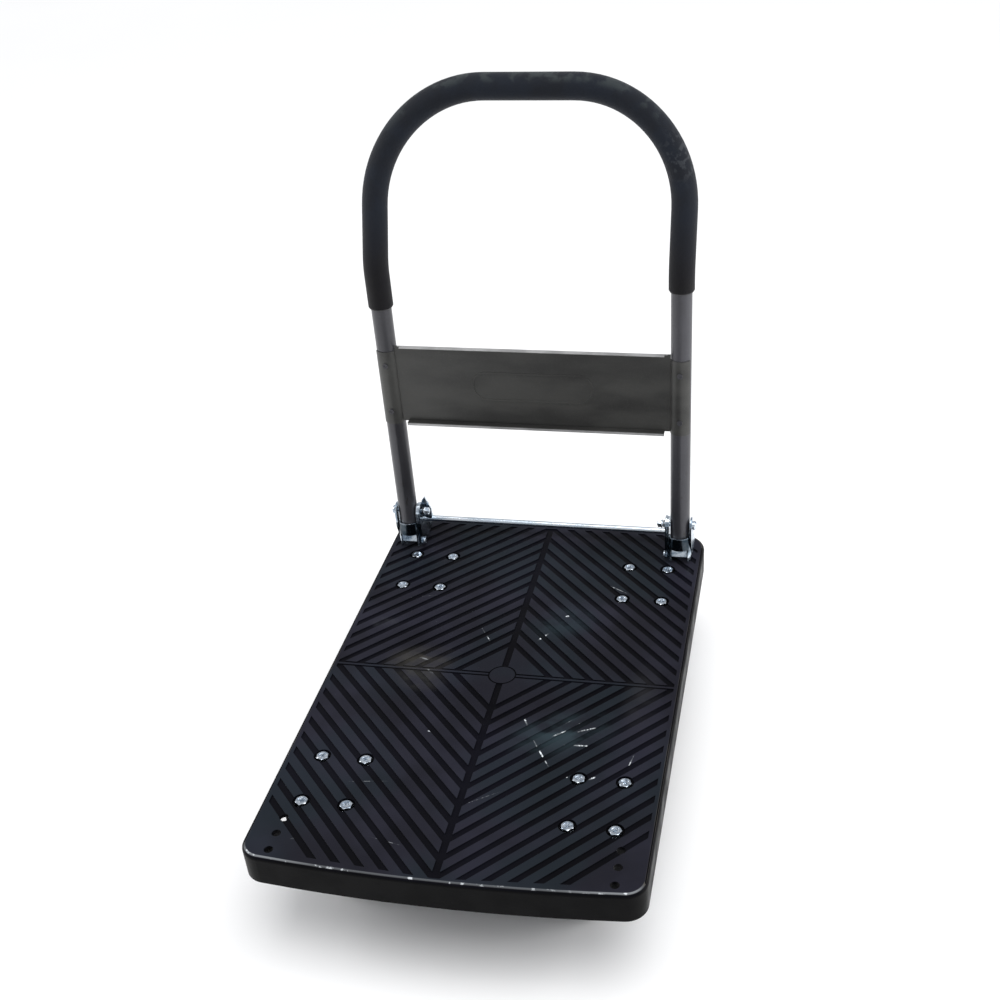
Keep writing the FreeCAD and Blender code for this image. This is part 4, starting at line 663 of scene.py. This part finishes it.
inner = add(tree, "GeometryNodeFlipFaces", walls[1])
noise = add(tree, "TexNoise", None, 60, 3)
lump = add(
    tree, "Math", add(tree, "Math", noise, 0.5, operation="SUBTRACT"),
    add(tree, "Math", given["Lumps"], 4.0, operation="MULTIPLY"), operation="MULTIPLY",
)
outward = add(tree, "GeometryNodeInputNormal")
how_far = add(tree, "Math", lump, lip, operation="MULTIPLY")
push = add(tree, "VectorMath", outward, how_far, operation="SCALE")
skin = tree.nodes.new("GeometryNodeSetPosition")
tree.links.new(walls[0], skin.inputs["Geometry"])
tree.links.new(push, skin.inputs["Offset"])
both = tree.nodes.new("GeometryNodeJoinGeometry")
tree.links.new(skin.outputs[0], both.inputs[0])
tree.links.new(inner, both.inputs[0])
closed = tree.nodes.new("GeometryNodeMergeByDistance")
tree.links.new(both.outputs[0], closed.inputs["Geometry"])
closed.inputs["Distance"].default_value = 0.00002
smooth = tree.nodes.new("GeometryNodeSetShadeSmooth")
tree.links.new(closed.outputs[0], smooth.inputs["Geometry"])
real = add(tree, "GeometryNodeRealizeInstances", smooth.outputs[0])
painted = add(tree, "GeometryNodeSetMaterial", real, None, given["Finish"])
tree.links.new(painted, tree.nodes.new("NodeGroupOutput").inputs[0])

foam, shade, shader, place = finish_named(
    "nitrile_foam", "#1d1f26", Roughness=0.86, IOR=1.45, Specular_IOR_Level=0.22, Sheen_Weight=0.12,
    Sheen_Roughness=0.5,
)
parts = add(shade, "SeparateXYZ", place).node
blotch = grain(shade, place, 34, 4)
cells = add(shade, "TexVoronoi", place, 700)
low = add(
    shade, "Mix", add(shade, "MapRange", blotch, 0.35, 0.65, interpolation_type="SMOOTHSTEP"),
    "#0b0a0d", "#121115", data_type="RGBA",
)
crown = add(
    shade, "Mix", add(shade, "MapRange", blotch, 0.35, 0.65, interpolation_type="SMOOTHSTEP"),
    "#0f131b", "#171c25", data_type="RGBA",
)
colour = add(
    shade, "Mix",
    add(shade, "MapRange", parts.outputs["Z"], 0.58, 0.70, interpolation_type="SMOOTHSTEP"), low, crown,
    data_type="RGBA",
)
facing = add(shade, "SeparateXYZ", place.node.outputs["Normal"]).node
# painted highlight: lighter patches on the upward faces of the crown
crown_highlight = add(
    shade, "Math",
    add(shade, "MapRange", grain(shade, place, 20, 5), 0.46, 0.60, interpolation_type="SMOOTHSTEP"),
    add(
        shade, "MapRange", parts.outputs["Z"], top_z - 0.10, top_z + 0.005, 0.0, 0.8,
        interpolation_type="SMOOTHSTEP",
    ),
    operation="MULTIPLY",
)
crown_highlight = add(
    shade, "Math", crown_highlight,
    add(shade, "MapRange", facing.outputs["Z"], 0.35, 0.85, interpolation_type="SMOOTHSTEP"),
    operation="MULTIPLY",
)
colour = add(shade, "Mix", crown_highlight, colour, "#33393b", data_type="RGBA")
NICK = (0.205, 0.335, 0.735)
from_nick = add(shade, "VectorMath", place, NICK, operation="DISTANCE")
nick = add(
    shade, "Math",
    add(shade, "MapRange", from_nick, 0.05, 0.0, interpolation_type="SMOOTHSTEP"),
    add(shade, "MapRange", grain(shade, place, 7, 4), 0.5, 0.6, interpolation_type="SMOOTHSTEP"),
    operation="MULTIPLY",
)
colour = add(shade, "Mix", nick, colour, "#34373c", data_type="RGBA")
shade.links.new(colour, shader.inputs["Base Color"])
shade.links.new(
    add(shade, "MapRange", blotch, 0.3, 0.7, 0.74, 0.92, interpolation_type="SMOOTHSTEP"),
    shader.inputs["Roughness"],
)
relief(
    shade, shader,
    add(shade, "Math", cells, grain(shade, place, 5, 3), operation="ADD"), 0.22,
)

sleeve = grown("foam_grip", bent_line("foam_line", foam_route), tree, Finish=foam)
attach(sleeve, "handle")
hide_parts("grip")


# --- handle panel ----------------------------------------------------------------------------
# A 1 mm steel pressing with a flange, a turned lip, end sleeves and one long bead, powder coated
# in satin dark grey; its folds are painted bright, partly as rub wear and partly as painted
# highlight. Its four pan-head screws are coated too.

panel_coat, tree, shader, place = finish_named("satin_grey_powder_coat", "#3c3c3b", Metallic=0.35)
parts = add(tree, "SeparateXYZ", place).node
panel_low, panel_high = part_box("panel")
cloud = grain(tree, place, 70, 4, (0.5, 1, 1.4))
colour = add(
    tree, "Mix", add(tree, "MapRange", cloud, 0.35, 0.65, interpolation_type="SMOOTHSTEP"), "#343433",
    "#434341", data_type="RGBA",
)
flake = grain(tree, place, 0.9, 2)
colour = add(
    tree, "Mix", add(tree, "MapRange", flake, 0.60, 0.74, 0.0, 0.4, interpolation_type="SMOOTHSTEP"),
    colour, "#6a6a68", data_type="RGBA",
)
folds = add(
    tree, "MapRange", parts.outputs["Z"], panel_high.z - 0.0018, panel_high.z - 0.0008,
    interpolation_type="SMOOTHSTEP",
)
lip = add(
    tree, "Math",
    add(
        tree, "MapRange", parts.outputs["Y"], panel_low.y + 0.0150, panel_low.y + 0.0140,
        interpolation_type="SMOOTHSTEP",
    ),
    add(
        tree, "MapRange", parts.outputs["Z"], panel_low.z + 0.004, panel_low.z + 0.003,
        interpolation_type="SMOOTHSTEP",
    ),
    operation="MULTIPLY",
)
folds = add(tree, "Math", folds, lip, operation="MAXIMUM")
between = add(
    tree, "MapRange", add(tree, "Math", parts.outputs["X"], operation="ABSOLUTE"), 0.188, 0.186,
    interpolation_type="SMOOTHSTEP",
)
folds = add(tree, "Math", folds, between, operation="MULTIPLY")
# the folds' bright paint is partly rub wear and partly painted highlight
fold_wear_and_highlight = add(
    tree, "Math", folds,
    add(
        tree, "MapRange", grain(tree, place, 30, 3), 0.36, 0.60, 0.65, 0.95,
        interpolation_type="SMOOTHSTEP",
    ),
    operation="MULTIPLY",
)
colour = add(tree, "Mix", fold_wear_and_highlight, colour, "#b4b4b4", data_type="RGBA")
tree.links.new(colour, shader.inputs["Base Color"])
tree.links.new(
    add(tree, "MapRange", cloud, 0.3, 0.7, 0.30, 0.42, interpolation_type="SMOOTHSTEP"),
    shader.inputs["Roughness"],
)
relief(tree, shader, grain(tree, place, 2.4, 2), 0.05, 0.5)
dress(panel_coat, "panel")
dress(tube_coat, "panel_screws")


# --- hinge brackets and foot latch -----------------------------------------------------------
# Pressed brackets, latch arms and a foot rod in zinc-plated steel, on M6 pivot bolts. The rod is
# polished by shoes and the torsion springs are plain drawn wire.

bracket_zinc = zinc_plate("zinc_plated_brackets", "#dbe6f0", "#8fa0b0", (0.14, 0.28), 11)
# painted reflection: the band's front is darkened blue-black above its bright feet, standing in for the
# dark deck it mirrors
tree = bracket_zinc.node_tree
shader = tree.nodes["Principled BSDF"]
place = tree.nodes.new("ShaderNodeTexCoord").outputs
facing = add(tree, "SeparateXYZ", place["Normal"]).node
parts = add(tree, "SeparateXYZ", place["Object"]).node
painted_deck_reflection = add(
    tree, "Math",
    add(tree, "MapRange", facing.outputs["Y"], -0.30, -0.70, interpolation_type="SMOOTHSTEP"),
    add(
        tree, "MapRange", parts.outputs["Z"], deck_top + 0.017, deck_top + 0.022, 0.0, 0.92,
        interpolation_type="SMOOTHSTEP",
    ),
    operation="MULTIPLY",
)
painted_deck_reflection = add(
    tree, "Math", painted_deck_reflection,
    add(
        tree, "MapRange", parts.outputs["Z"], deck_top + 0.046, deck_top + 0.043,
        interpolation_type="SMOOTHSTEP",
    ),
    operation="MULTIPLY",
)
tree.links.new(
    add(
        tree, "Mix", painted_deck_reflection, shader.inputs["Base Color"].links[0].from_socket, "#15232c",
        data_type="RGBA",
    ),
    shader.inputs["Base Color"],
)
for name, side in SIDES:
    dress(bracket_zinc, f"hinge_bracket_{name}", f"latch_arm_{name}")
    dress(
        bolt_zinc, f"pivot_bolt_{name}", f"pivot_nuts_{name}", f"bracket_screws_{name}",
        f"latch_pin_{name}",
    )

rod_zinc, tree, shader, place = finish_named("polished_zinc_rod", "#e8f0f8", Metallic=1.0)
rub = grain(tree, place, 18, 4, (0.3, 1, 1))
colour = add(
    tree, "Mix", add(tree, "MapRange", rub, 0.36, 0.64, interpolation_type="SMOOTHSTEP"), "#cfdce8",
    "#eef5fc", data_type="RGBA",
)
colour = add(
    tree, "Mix",
    add(
        tree, "MapRange", grain(tree, place, 6, 4, (0.25, 1, 1)), 0.62, 0.74, 0.0, 0.35,
        interpolation_type="SMOOTHSTEP",
    ),
    colour, "#7d8a96", data_type="RGBA",
)
tree.links.new(colour, shader.inputs["Base Color"])
tree.links.new(
    add(tree, "MapRange", rub, 0.3, 0.7, 0.30, 0.16, interpolation_type="SMOOTHSTEP"),
    shader.inputs["Roughness"],
)
relief(tree, shader, grain(tree, place, 3, 3, (0.2, 1, 1)), 0.05)
dress(rod_zinc, "latch_rod")

spring_wire, tree, shader, place = finish_named("drawn_spring_wire", "#6e7072", Metallic=1.0)
drawn = grain(tree, place, 2, 3)
tree.links.new(
    add(tree, "Mix", drawn, "#4c4e50", "#85888b", data_type="RGBA"), shader.inputs["Base Color"],
)
tree.links.new(
    add(tree, "MapRange", drawn, 0.3, 0.7, 0.25, 0.4, interpolation_type="SMOOTHSTEP"),
    shader.inputs["Roughness"],
)
relief(tree, shader, drawn, 0.02)
dress(spring_wire, "latch_spring_left", "latch_spring_right")


# --- studio ----------------------------------------------------------------------------------
# A pale floor under an even sky, a broad soft sun from above, and tall soft boxes at the sides
# that draw the bright edges down the tubes.

floor_mesh = bpy.data.meshes.new("floor")
reach = 60
floor_mesh.from_pydata(
    [(-reach, -reach, 0), (reach, -reach, 0), (reach, reach, 0), (-reach, reach, 0)], [],
    [(0, 1, 2, 3)],
)
floor = bpy.data.objects.new("floor", floor_mesh)
scene.collection.objects.link(floor)
floor_paint, tree, shader, place = finish_named(
    "pale_floor", "#f6f6f6", Roughness=0.9, Specular_IOR_Level=0.0,
)
tree.links.new(
    add(tree, "Mix", grain(tree, place, 900, 2), "#f4f4f4", "#f8f8f8", data_type="RGBA"),
    shader.inputs["Base Color"],
)
floor_mesh.materials.append(floor_paint)

sky = bpy.data.worlds.new("studio")
sky.use_nodes = True
sky.node_tree.nodes["Background"].inputs["Color"].default_value = linear("#fbfcff")
sky.node_tree.nodes["Background"].inputs["Strength"].default_value = 0.55
scene.world = sky


def lamp(name, kind, watts, at, aim, **settings):
    light = bpy.data.lights.new(name, kind)
    light.energy = watts
    for key, value in settings.items():
        setattr(light, key, value)
    holder = bpy.data.objects.new(name, light)
    holder.location = at
    holder.rotation_euler = (Vector(aim) - Vector(at)).to_track_quat("-Z", "Y").to_euler()
    scene.collection.objects.link(holder)


lamp("sun", "SUN", 1.7, (0.5, -0.4, 3.0), (0, 0, 0), angle=math.radians(50))
lamp("left_box", "AREA", 26, (-2.4, -0.1, 1.3), (0, 0.2, 0.5), shape="RECTANGLE", size=0.9, size_y=2.0)
lamp("right_box", "AREA", 32, (2.4, 0.1, 1.4), (0, 0.2, 0.5), shape="RECTANGLE", size=0.9, size_y=2.0)

EYE = Vector((0.3709, -1.3547, 1.2670))
lens = bpy.data.cameras.new("camera")
lens.lens = 48.12
lens.sensor_width = 36.0
lens.shift_x = -0.05
lens.shift_y = 0.12
camera = bpy.data.objects.new("camera", lens)
ahead = Vector((-0.1766, 0.7859, -0.5926)).normalized()
right = Vector((0.9820, 0.1819, -0.0514))
right = (right - ahead * right.dot(ahead)).normalized()
upward = right.cross(ahead)
camera.matrix_world = Matrix((
    (right.x, upward.x, -ahead.x, EYE.x),
    (right.y, upward.y, -ahead.y, EYE.y),
    (right.z, upward.z, -ahead.z, EYE.z),
    (0, 0, 0, 1),
))
scene.collection.objects.link(camera)
scene.camera = camera
scene.view_settings.view_transform = "Standard"
